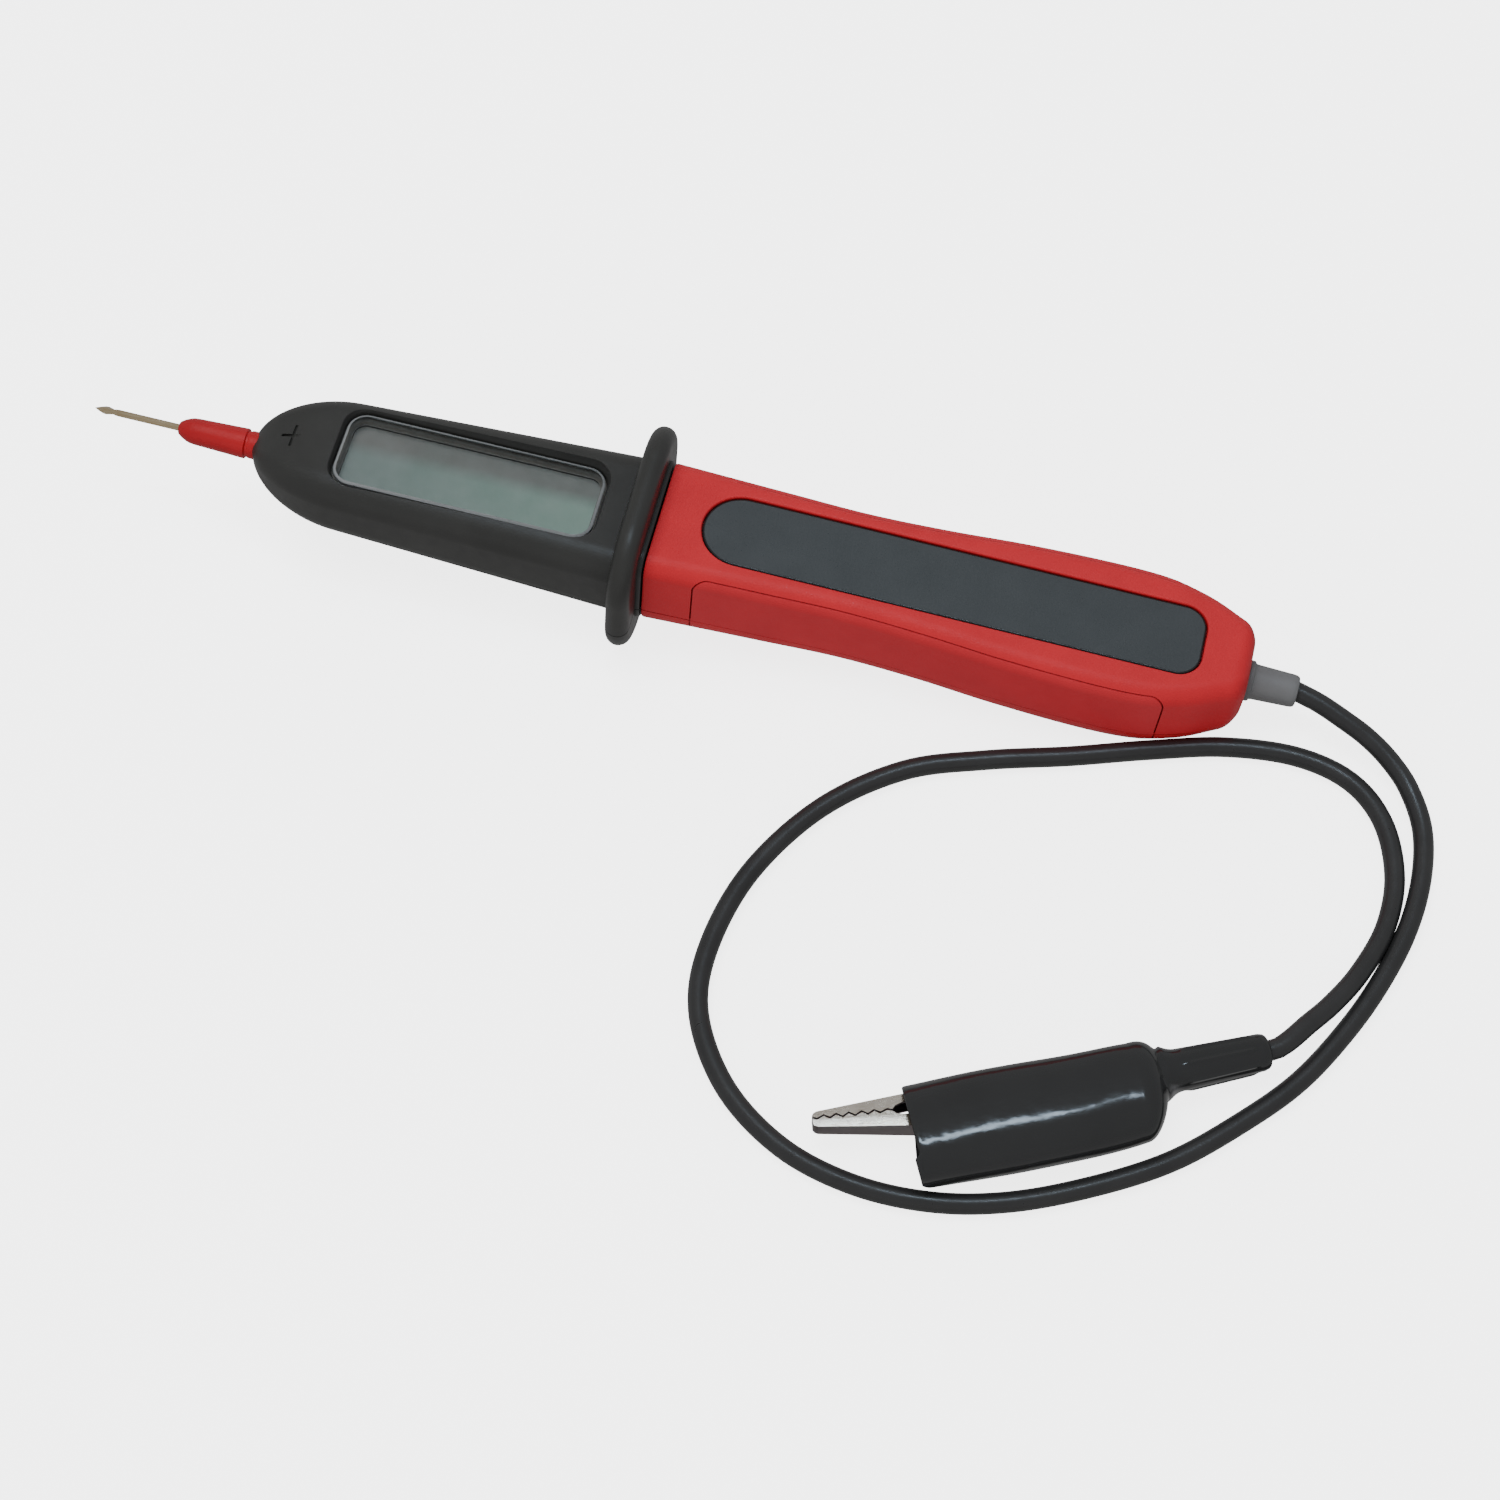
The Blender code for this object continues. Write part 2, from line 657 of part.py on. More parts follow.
def make_display(frame):
    def centred(size, radius=1.5):
        return rounded_outline(
            WINDOW_X - size[0] / 2, WINDOW_X + size[0] / 2, size[1] / 2, radius, radius
        )

    lens = plate("lcd_window", centred(LENS_SIZE), *LENS_Z, frame)
    step = plate("lens_step", centred(LENS_STEP_SIZE, 3.7), LENS_Z[0] + 0.3, LENS_TOP_Z, frame)
    join(lens, step)
    lens = frozen(lens)
    finish(lens, (0.8, 0.85, 0.85), 0.05)
    glass = plate("lcd_panel", centred(LCD_SIZE), *LCD_Z, frame)
    finish(glass, (0.22, 0.27, 0.24), 0.2)
    holder = plate("lcd_frame", centred(LCD_FRAME_SIZE), *LCD_FRAME_Z, frame)
    opening_size = (LCD_SIZE[0] + 2 * GAP, LCD_SIZE[1] + 2 * GAP)
    opening = plate(
        "lcd_frame_opening", centred(opening_size), LCD_FRAME_Z[0] - 1, LCD_FRAME_Z[1] + 1, frame
    )
    cut(holder, opening)
    finish(holder, BLACK, 0.6)
    half_length, half_width = ELASTOMER_HALF_SIZE
    for name, side in (("elastomer_near", -1), ("elastomer_far", 1)):
        middle = side * ELASTOMER_Y
        strip = box(
            name, (WINDOW_X - half_length, middle - half_width, BOARD_Z[1] + GAP),
            (WINDOW_X + half_length, middle + half_width, LCD_Z[0] - GAP), frame,
        )
        finish(strip, (0.35, 0.3, 0.32), 0.7)


def make_electronics(frame):
    """Board and what is soldered to it, each part a gap above the board."""
    wide, narrow = BOARD_HALF_WIDTHS
    outline = (
        (BOARD_START_X, -wide), (BOARD_STEP_X, -wide), (BOARD_STEP_X, -narrow), (BOARD_END_X, -narrow),
        (BOARD_END_X, narrow), (BOARD_STEP_X, narrow), (BOARD_STEP_X, wide), (BOARD_START_X, wide),
    )
    board = plate("circuit_board", outline, *BOARD_Z, frame)
    boss_x, boss_y, _ = HANDLE_SCREWS[0]
    boss_hole = upright_cylinder("board_hole", (boss_x, boss_y), -5.0, 3.0, BOSS_RADIUS + GAP, frame)
    cut(board, boss_hole)
    finish(board, (0.02, 0.16, 0.07), 0.45)

    deck = BOARD_Z[1] + GAP
    chip = box(
        "meter_chip", (CHIP_X[0], -CHIP_HALF_WIDTH, deck),
        (CHIP_X[1], CHIP_HALF_WIDTH, deck + CHIP_HEIGHT), frame,
    )
    finish(chip, BLACK, 0.4)
    start, end = RESISTOR_X
    resistor_profile = (
        (start, RESISTOR_RADIUS - 0.5), (start + 0.8, RESISTOR_RADIUS),
        (end - 0.8, RESISTOR_RADIUS), (end, RESISTOR_RADIUS - 0.5),
    )
    resistor = turned("series_resistor", resistor_profile, frame, WIRE_HOLE)
    resistor.location.z = (deck + RESISTOR_RADIUS + 0.1) * MM
    finish(resistor, (0.3, 0.45, 0.6), 0.5)
    diode_profile = [(x, DIODE_RADIUS) for x in DIODE_X]
    diode = turned("protection_diode", diode_profile, frame, WIRE_HOLE, 16)
    diode.location = Vector((0.0, DIODE_Y, deck + DIODE_RADIUS + 0.1)) * MM
    finish(diode, BLACK, 0.4)
    can = upright_cylinder(
        "filter_capacitor", (CAPACITOR_X, 0.0), deck, deck + CAPACITOR_HEIGHT, CAPACITOR_RADIUS, frame
    )
    finish(can, (0.05, 0.06, 0.2), 0.35)
    trimmer = box(
        "calibration_trimmer", (TRIMMER_X[0], -TRIMMER_HALF_WIDTH, deck),
        (TRIMMER_X[1], TRIMMER_HALF_WIDTH, deck + TRIMMER_HALF_WIDTH), frame,
    )
    finish(trimmer, (0.05, 0.15, 0.5), 0.4)
    lug_outline = rounded_outline(*LUG_X, LUG_HALF_WIDTH, LUG_HALF_WIDTH - 0.1, LUG_SHEET)
    lug = plate("lead_lug", lug_outline, deck, deck + LUG_SHEET, frame)
    finish(lug, BRASS, 0.3, 1.0)


# Handle

def grip_outline(margin):
    """Side view (x, z) of a grip; margin widens it to the front, the rear and the top."""
    low_x, high_x = GRIP_X[0] - margin, GRIP_X[1] + margin
    bottom_z = PARTING_Z + GAP / 2 - 4 * margin
    radius = GRIP_CORNER + margin
    outline = [(low_x, bottom_z), (high_x, bottom_z)]
    for x, start in ((high_x - radius, 0), (low_x + radius, 90)):
        z = handle_top(x) - GRIP_DROP + margin - radius
        for step in range(CORNER_STEPS + 1):
            angle = radians(start + 90 * step / CORNER_STEPS)
            outline.append((x + radius * cos(angle), z + radius * sin(angle)))
    return outline


def side_prism(name, outline, side, frame):
    """Prism of a side view, standing out of one side of the handle."""
    prism = plate(name, outline, 4.0, 24.0, frame)
    prism.rotation_euler.x = pi / 2
    prism.location = Vector((0.0, side * 14.0, 0.0)) * MM
    return prism


def handle_loft(name, stations, frame, inset=0.0, top_inset=None):
    sections = [(x, rounded_section(*handle_section(x, inset, top_inset))) for x in stations]
    return loft(name, sections, frame)


HANDLE_STATIONS = (
    3, 12, 19, 26, 33, 40, 47, 54, 61, 68, 75, 82, 88, 93, 97, 100.5, 104, 107, 110, 112, 113.2,
    114.4, 115.2, 115.7, 116,
)


def make_grips(frame):
    """Soft inlays in the handle's sides; they share the handle's outer surface."""
    for name, side in (("grip_inlay_near", -1), ("grip_inlay_far", 1)):
        grip = handle_loft(name, HANDLE_STATIONS, frame)
        window = side_prism(name + "_outline", grip_outline(0.0), side, frame)
        combine(grip, window, "INTERSECT")
        core = handle_loft(name + "_core", HANDLE_STATIONS, frame, GRIP_THICKNESS)
        cut(grip, core)
        grip = frozen(grip)
        finish(grip, (0.5, 0.035, 0.035), 0.6)


def grip_pockets(frame):
    pockets = []
    for name, side in (("grip_pocket_near", -1), ("grip_pocket_far", 1)):
        pocket = side_prism(name, grip_outline(GAP), side, frame)
        core = handle_loft(name + "_core", HANDLE_STATIONS, frame, GRIP_THICKNESS + GAP)
        cut(pocket, core)
        pockets.append(frozen(pocket))
    return pockets


def label_solid(name, margin, low, high, frame):
    """Label plate or its recess: low and high are heights over the handle's top, which slopes."""
    outline = rounded_outline(
        LABEL_X[0] - margin, LABEL_X[1] + margin, LABEL_HALF_WIDTH + margin,
        LABEL_HALF_WIDTH + margin - 0.01, LABEL_REAR_RADIUS + margin,
    )
    solid = plate(name, outline, low, high, frame)
    solid.rotation_euler.y = atan2(HANDLE_TOP_FALL, 1.0)
    solid.location.z += HANDLE_TOP * MM
    return solid


def make_handle(frame):
    whole = handle_loft("handle_body", HANDLE_STATIONS, frame)
    hollow_stations = (1.5, *[x for x in HANDLE_STATIONS if 8 < x < 113.4], 113.5)
    hollow = handle_loft("handle_hollow", hollow_stations, frame, WALL, TOP_WALL)
    hole_radius = RELIEF_NECK + GAP
    relief_hole = turned(
        "relief_hole", ((112.0, 0.0), (112.0, hole_radius), (118.0, hole_radius), (118.0, 0.0)), frame
    )
    cut(whole, hollow, relief_hole)
    whole = frozen(whole)
    low, high = split_halves(whole, "handle_lower_cover", "handle_upper_cover", frame)
    recess = label_solid("label_recess", GAP, -LABEL_RECESS - LABEL_THICKNESS - GAP, 3.0, frame)
    cut(high, recess, *grip_pockets(frame))
    ceiling = handle_top(HANDLE_SCREWS[0][0]) - TOP_WALL + 0.4
    screw_post_pair(HANDLE_SCREWS, low, high, ceiling, frame)
    table = box("table", (-REACH, -REACH, -REACH), (REACH, REACH, 0.0), None)
    cut(low, table)
    low, high = frozen(low), frozen(high)
    finish(low, RED, 0.5)
    finish(high, RED, 0.5)
    make_screws("handle_screw", HANDLE_SCREWS, frame)
    plate_top = -LABEL_RECESS
    label = label_solid("label_plate", 0.0, plate_top - LABEL_THICKNESS, plate_top, frame)
    finish(label, (0.06, 0.075, 0.08), 0.4)


def make_strain_relief(frame):
    relief = turned(
        "strain_relief",
        ((111.6, 3.5), (113.2, 3.5), (113.2, RELIEF_NECK), (116.3, RELIEF_NECK), (116.3, 3.8), (117.0, 3.8),
         (117.5, 3.3), (125.1, 3.08), (LEAD_EXIT_X, 2.7)),
        frame, RELIEF_BORE,
    )
    finish(relief, GREY, 0.55)
    inner_route = (
        (60.4, 0.0, 2.2), (66.0, 0.3, 2.0), (78.0, 2.6, 1.0), (90.0, 4.8, 0.4), (101.0, 5.6, 0.0),
        (106.5, 2.9, 0.0), (110.0, 0.5, 0.0), (112.5, 0.0, 0.0), (118.0, 0.0, 0.0),
        (LEAD_EXIT_X - GAP, 0.0, 0.0),
    )
    lead = tube("inner_lead", smooth_route(inner_route, 3.5), LEAD_RADIUS, frame)
    finish(lead, BLACK, 0.4)


# Lead

def lead_start():
    """Where the free lead begins, a gap behind the strain relief, in the world."""
    reach = LEAD_EXIT_X + GAP
    return (TESTER_X + reach * cos(PITCH), 0.0, AXIS_HEIGHT - reach * sin(PITCH))


def lead_end():
    """Where the free lead meets the boot's tail, in the world."""
    along = TAIL_END_X + GAP
    x = BOOT_X + along * cos(BOOT_HEADING) - TAIL_OFFSET * sin(BOOT_HEADING)
    y = BOOT_Y + along * sin(BOOT_HEADING) + TAIL_OFFSET * cos(BOOT_HEADING)
    return (x, y, BOOT_HALF_HEIGHT)


def make_lead():
    route = (lead_start(), *LEAD_ROUTE, lead_end())
    points = smooth_route(route, LEAD_SPACING)
    for point in points:
        point.z = max(point.z, LEAD_RADIUS + 0.02)
    lead = tube("test_lead", points, LEAD_RADIUS, None)
    finish(lead, BLACK, 0.35)


# Clip

def boot_section(x, inset=0.0):
    """Section of the boot: tapered body, rounded over behind, then the conical tail."""
    share = 1.0
    if x > BOOT_ROUND_X:
        share = sqrt(max(1 - ((x - BOOT_ROUND_X) / BOOT_ROUND_LENGTH) ** 2, 0.0))
    tail = smooth_value(x, TAIL_RADII)
    half_width = max(smooth_value(x, BOOT_WIDTHS) * share, tail) - inset
    half_height = max(BOOT_HALF_HEIGHT * share, tail) - inset
    radius = min(BOOT_RADIUS - inset, half_height - 0.02)
    middle = smooth_value(x, BOOT_MIDDLES)
    return rounded_section(half_width, half_height, half_height, radius, radius, middle)


def make_boot(frame):
    stations = (0.0, 20.0, BOOT_ROUND_X, 42.0, 43.6, 44.6, 45.2, 45.6, TAIL_START_X, 56.0, TAIL_END_X)
    boot = loft("clip_boot", [(x, boot_section(x)) for x in stations], frame)
    inner_stations = (-1.0, 20.0, BOOT_ROUND_X, 41.6, 43.0)
    hollow = loft("boot_hollow", [(x, boot_section(x, BOOT_WALL)) for x in inner_stations], frame)
    bore = turned("tail_bore", ((39.0, 0.0), (39.0, 2.2), (66.0, 2.2), (66.0, 0.0)), frame)
    bore.location.y = TAIL_OFFSET * MM
    cut(boot, hollow, bore)
    boot = frozen(boot)
    finish(boot, (0.02, 0.02, 0.022), 0.15)

    inner_end = (
        (33.2, 0.9, 0.0), (37.0, 1.3, 0.0), (42.0, 2.1, 0.0), (TAIL_END_X - GAP, TAIL_OFFSET, 0.0),
    )
    lead_end_piece = tube("clip_lead_end", smooth_route(inner_end, 5.0), LEAD_RADIUS, frame)
    finish(lead_end_piece, BLACK, 0.4)


def toothed_edge(clearance):
    """Zigzag mating line from the jaws' tip to the last tooth; the teeth are tallest halfway."""
    points = []
    for tooth in range(TOOTH_COUNT):
        x = -JAW_LENGTH + 0.9 + tooth * TOOTH_PITCH
        half_height = TOOTH_HEIGHT / 2 * (0.75 + 0.25 * sin(pi * (tooth + 0.5) / TOOTH_COUNT))
        points.append((x, clearance - half_height))
        points.append((x + TOOTH_PITCH / 2, clearance + half_height))
    return points


def arc(radius, start, end, steps=8):
    """Arc about the pivot, angles in degrees."""
    angles = [radians(start + (end - start) * step / steps) for step in range(steps + 1)]
    return [(radius * cos(a), radius * sin(a)) for a in angles]


def taper_tip(piece):
    """Thin the jaw towards its tip."""
    for vertex in piece.data.vertices:
        ahead = -vertex.co.x / MM - 6.0
        if ahead > 0:
            vertex.co.z *= 1 - 0.32 * ahead / (JAW_LENGTH - 6.0)


def finish_jaw(jaw, frame):
    """Drill a jaw for its pin and thin it towards its tip."""
    pin_hole = upright_cylinder("pin_hole_" + jaw.name, (0.0, 0.0), -4.0, 4.0, PIN_RADIUS + GAP, frame)
    cut(jaw, pin_hole)
    jaw = frozen(jaw)
    taper_tip(jaw)
    finish(jaw, NICKEL, 0.3, 1.0)


def make_fixed_jaw(frame):
    """Far half of the clip: a channel that opens towards the other half, with the crimp behind."""
    inside = JAW_HALF_THICKNESS - JAW_SHEET
    outline = (
        [(-JAW_LENGTH, JAW_MEETING)] + toothed_edge(JAW_MEETING) + [(-4.0, JAW_MEETING)]
        + arc(2.0, 200, 340) + [(4.0, 1.2), (27.0, 1.2), (27.0, 4.0), (8.0, 4.2), (0.0, 4.2)]
        + [(-JAW_LENGTH + 0.4, 1.5)]
    )
    jaw = plate("clip_fixed_jaw", outline, -JAW_HALF_THICKNESS, JAW_HALF_THICKNESS, frame)
    tip_inside = -JAW_LENGTH + 0.8
    hollow_outline = (
        (tip_inside, -3.0), (28.0, -3.0), (28.0, 3.5), (8.0, 3.7), (0.0, 3.7), (tip_inside, 1.0),
    )
    cut(jaw, plate("fixed_jaw_hollow", hollow_outline, -inside, inside, frame))
    finish_jaw(jaw, frame)


def make_moving_jaw(frame):
    """Near half of the clip; behind the teeth it is slimmer, and turns inside the fixed half."""
    slim = JAW_HALF_THICKNESS - JAW_SHEET - GAP
    front_outline = (
        [(-JAW_LENGTH, -JAW_MEETING)] + toothed_edge(-JAW_MEETING)
        + [(-4.9, -JAW_MEETING), (-4.9, -2.75), (-JAW_LENGTH + 0.4, -1.3)]
    )
    jaw = plate("clip_moving_jaw", front_outline, -JAW_HALF_THICKNESS, JAW_HALF_THICKNESS, frame)
    rear_outline = (
        [(-7.0, -2.15), (-7.0, -0.5), (-4.4, -0.15)] + list(reversed(arc(1.7, 20, 160)))
        + [(3.0, -0.7), (22.0, -5.0), (22.0, -5.95), (4.0, -3.1), (0.0, -2.6)]
    )
    join(jaw, plate("moving_jaw_rear", rear_outline, -slim, slim, frame))
    tip_inside = -JAW_LENGTH + 0.8
    hollow_outline = (
        (tip_inside, -0.62), (tip_inside, 3.0), (24.0, 3.0), (24.0, -5.77), (4.0, -2.6), (0.0, -2.1),
    )
    cut(jaw, plate("moving_jaw_hollow", hollow_outline, JAW_SHEET - slim, slim - JAW_SHEET, frame))
    finish_jaw(jaw, frame)


def make_pin_and_spring(frame):
    pin = upright_cylinder("clip_pivot_pin", (0.0, 0.0), -3.1, 3.1, PIN_RADIUS, frame)
    for name, low_z, high_z in (("pin_head_low", -3.3, -2.7), ("pin_head_high", 2.7, 3.3)):
        join(pin, upright_cylinder(name, (0.0, 0.0), low_z, high_z, 1.7, frame))
    finish(pin, NICKEL, 0.3, 1.0)

    coil_steps = 14
    rise = 2.1 * SPRING_WIRE * SPRING_TURNS
    start_angle = radians(115)
    sweep = 2 * pi * SPRING_TURNS + radians(130)
    steps = coil_steps * SPRING_TURNS + 5
    coil = []
    for step in range(steps + 1):
        angle = start_angle + sweep * step / steps
        coil.append(
            (SPRING_RADIUS * cos(angle), SPRING_RADIUS * sin(angle), rise * (step / steps - 0.5))
        )
    fixed_arm = [(9.0, 2.7, coil[0][2]), (1.2, 1.5, coil[0][2])]
    moving_arm = [(1.4, -1.6, coil[-1][2]), (8.0, -2.6, coil[-1][2])]
    spring = tube("clip_spring", fixed_arm + coil[1:-1] + moving_arm, SPRING_WIRE, frame)
    finish(spring, STEEL, 0.3, 1.0)

    conductor_route = [(23.3, 2.3, 0.0), (25.0, 2.0, 0.0), (27.1, 1.2, 0.0)]
    conductor = tube("clip_conductor", conductor_route, CONDUCTOR_RADIUS, frame)
    finish(conductor, (0.7, 0.35, 0.2), 0.35, 1.0)


def main():
    tester = new_frame("tester_frame", (TESTER_X, 0.0, AXIS_HEIGHT), (0.0, PITCH, 0.0))
    make_probe(tester)
    make_head(tester)
    make_display(tester)
    make_electronics(tester)
    make_handle(tester)
    make_grips(tester)
    make_strain_relief(tester)
    make_lead()

    boot = new_frame("boot_frame", (BOOT_X, BOOT_Y, BOOT_HALF_HEIGHT), (0.0, 0.0, BOOT_HEADING))
    make_boot(boot)
    pivot_x = JAW_TIP_X + JAW_LENGTH * cos(JAW_HEADING)
    pivot_y = JAW_TIP_Y + JAW_LENGTH * sin(JAW_HEADING)
    jaws = new_frame("jaw_frame", (pivot_x, pivot_y, BOOT_HALF_HEIGHT), (0.0, 0.0, JAW_HEADING))
    make_fixed_jaw(jaws)
    make_moving_jaw(jaws)
    make_pin_and_spring(jaws)


main()
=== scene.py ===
"""Looks of the circuit test light: fine shells round the CAD frame, procedural materials, soft light.

Lengths are in millimetres and become metres through MM. Three matrices place the pieces:
  TESTER  +X from the needle to the lead, +Z out of the display, origin at the middle of the guard
  BOOT    +X from the clip's mouth to its tail
  JAWS    +X from the jaws' tip to their handles, origin on the pivot pin's axis
"""

import json
from math import atan2, cos, pi, radians, sin, sqrt

import bmesh
import bpy
from mathutils import Matrix, Vector


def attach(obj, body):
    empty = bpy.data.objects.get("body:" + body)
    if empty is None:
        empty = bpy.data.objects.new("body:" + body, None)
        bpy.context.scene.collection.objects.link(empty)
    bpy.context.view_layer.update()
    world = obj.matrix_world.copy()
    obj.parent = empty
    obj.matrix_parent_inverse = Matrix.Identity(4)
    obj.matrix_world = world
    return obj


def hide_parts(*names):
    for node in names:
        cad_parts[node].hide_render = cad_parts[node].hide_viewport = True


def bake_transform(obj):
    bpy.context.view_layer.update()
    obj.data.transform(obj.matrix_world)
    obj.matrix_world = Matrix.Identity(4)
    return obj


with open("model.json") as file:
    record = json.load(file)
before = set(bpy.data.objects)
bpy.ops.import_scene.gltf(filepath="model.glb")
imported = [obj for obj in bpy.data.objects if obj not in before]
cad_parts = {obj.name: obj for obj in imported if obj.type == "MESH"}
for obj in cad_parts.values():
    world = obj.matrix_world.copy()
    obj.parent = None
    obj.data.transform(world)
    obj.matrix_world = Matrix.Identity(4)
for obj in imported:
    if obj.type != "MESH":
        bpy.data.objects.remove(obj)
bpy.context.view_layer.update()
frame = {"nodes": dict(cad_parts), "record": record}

MM = 0.001
GAP = 0.3
WELD = 0.000002              # metres
REACH = 200.0                # further than any piece reaches
CORNER_STEPS = 12
SHARP_ANGLE = 32             # degrees

# Tester: stations along its axis.
NEEDLE_TIP_X = -108.1
PROBE_DROP = 0.5
NOSE_TIP_X = -76.5
NOSE_START_X = -58.0
HEAD_END_X = -2.0
COLLAR_END_X = 2.7
TONGUE_END_X = 13.5
HANDLE_START_X = 3.0
HANDLE_END_X = 116.0
END_ROUND_X = 113.0
LEAD_EXIT_X = 125.7

# Sections: half width, height over the axis, depth under it.
HEAD_FRONT = (11.95, 7.5, 8.6)
HEAD_REAR = (14.2, 8.45, 9.6)
HEAD_RADII = (5.0, 6.0)
HANDLE_RADII = (3.5, 6.0)
HANDLE_WIDTHS = (
    (3, 12.95), (26, 12.35), (41, 12.05), (56, 12.7), (71, 13.85), (88, 14.45), (98, 14.1),
    (104, 12.75), (108, 11.35), (112, 9.4), (114.5, 8.1), (116, 6.4),
)
HANDLE_DEPTHS = (
    (3, 11.4), (26, 11.0), (41, 10.7), (56, 10.65), (72, 10.9), (86, 11.15), (94, 11.1),
    (102, 10.75), (109, 10.1), (116, 9.0),
)
HANDLE_TOP = 9.9
HANDLE_TOP_FALL = 0.0117
PARTING_Z = -4.8
PARTING_GAP = 0.24
WALL = 2.0
TOP_WALL = 3.0

# Hand guard.
GUARD_X = -0.35
GUARD_HALF_WIDTH = 20.0
GUARD_HALF_HEIGHT = 16.5
GUARD_CORNER = 12.0
GUARD_HALF_THICKNESS = 2.3

PITCH = radians(3.5)
AXIS_HEIGHT = (
    (GUARD_HALF_HEIGHT - GUARD_HALF_THICKNESS) * cos(PITCH) + GUARD_HALF_THICKNESS + GUARD_X * sin(PITCH)
)
TESTER_X = -(NEEDLE_TIP_X + LEAD_EXIT_X) / 2 * cos(PITCH)

# Display.
WINDOW_X = -33.9
WINDOW_OUTER = (52.0, 17.9, 4.5)
WINDOW_INNER = (50.8, 16.7, 4.0)
WINDOW_SPREAD = 1.3           # millimetres of lip that widen the opening as much as its slope does
PLUS_X = -68.3
PLUS_SLOPE = radians(26)
HEAD_CEILING_Z = 6.0
HEAD_TOP_WALL = 1.3
LENS_SIZE = (53.0, 18.2)
LENS_Z = (4.6, 5.7)
LENS_STEP_SIZE = (50.2, 16.1)
LENS_TOP_Z = 6.9
LCD_SIZE = (50.0, 16.0)
LCD_Z = (1.6, 4.0)
BEZEL_OPENING = (48.2, 14.2)
BEZEL_Z = (4.08, 4.5)

# Label plate and grips.
LABEL_X = (11.3, 106.5)
LABEL_HALF_WIDTH = 7.45
LABEL_REAR_RADIUS = 4.5
LABEL_RECESS = 0.45
LABEL_GAP = 0.2
LABEL_THICKNESS = 1.0
LIP = 0.35
GRIP_X = (12.6, 101.5)
GRIP_DROP = 1.4
FAR_GRIP_DROP = 0.58          # the far grip reaches higher, so that its groove shows over the edge
FAR_POCKET_GAP = 0.8
FAR_CORE_SHARE = 0.25         # the far grip's core stays this share of its depth under the top,
FAR_CORE_DEPTH = 0.75         # counted from this depth on
GRIP_GROOVE = 0.32
GRIP_CORNER = 2.6
GRIP_THICKNESS = 0.9
GROOVE_DEPTH = 0.45
PRISM_Y = 14.0
PRISM_HALF_DEPTH = 10.0

# Screws: (x, y, depth of the outer face under the axis).
HEAD_SCREWS = ((-4.2, -10.2, 9.4), (-4.2, 10.2, 9.4))
HANDLE_SCREWS = ((34.0, 0.0, 10.0), (102.0, 0.0, 10.5))
SCREW_HEAD_RADIUS = 1.9
SCREW_SINK = 0.6

# Lead and strain relief.
LEAD_RADIUS = 1.9
RELIEF_BORE = LEAD_RADIUS + GAP
RELIEF_NECK = 2.65

# Clip.
BOOT_X, BOOT_Y, BOOT_HEADING = 66.4, -103.3, radians(26.5)
BOOT_WIDTHS = ((0.0, 9.3), (20.0, 9.45), (39.8, 8.9))
BOOT_MIDDLES = ((0.0, 0.3), (20.0, -0.4), (39.8, -0.35), (45.6, 2.2))
BOOT_HALF_HEIGHT = 6.3
BOOT_WALL = 0.8
MOUTH_LEAN = 0.9              # how far the mouth's upper lip reaches over the lower one
FLAP_REACH = 1.0              # how far the mouth's near flap stands out ahead of the rest
FLAP_EDGE = -4.4              # y of the flap's edge
VINYL_WAVE = 0.35
CREST_LEAN = 1.0              # how far the boot's top leans over from the mouth to the rear
BOOT_SQUARENESS = 0.45
RIB_COUNT = 14
RIB_ANGLE = 1.75
BOOT_ROUND_X = 39.8
BOOT_ROUND_LENGTH = 5.8
TAIL_START_X = 46.0
TAIL_END_X = 64.6
TAIL_RADII = ((46.0, 4.0), (64.6, 3.45))
TAIL_OFFSET = 2.2
JAW_TIP_X, JAW_TIP_Y, JAW_HEADING = 48.481, -104.8904, radians(18.5)
JAW_LENGTH = 22.6
JAW_HALF_THICKNESS = 2.4
JAW_SHEET = 0.5
JAW_MEETING = 0.15
JAW_BEND = 1.25               # width of the moving jaw's polished bend
JAW_BEND_SLOPE = radians(7.5)
JAW_LINE = 0.45               # y of the line where the jaws meet
JAW_SHARP_ANGLE = 5           # degrees; less than the bend's slope, so that its line stays sharp
TOOTH_PITCH = 2.2
TOOTH_HEIGHT = 0.7
TOOTH_COUNT = 6
TAPER_START = 6.0             # ahead of the pivot
TAPER = 0.32                  # share of the thickness that is gone at the tip
PIN_RADIUS = 0.9
SPRING_RADIUS = 1.5
SPRING_WIRE = 0.25
SPRING_TURNS = 2

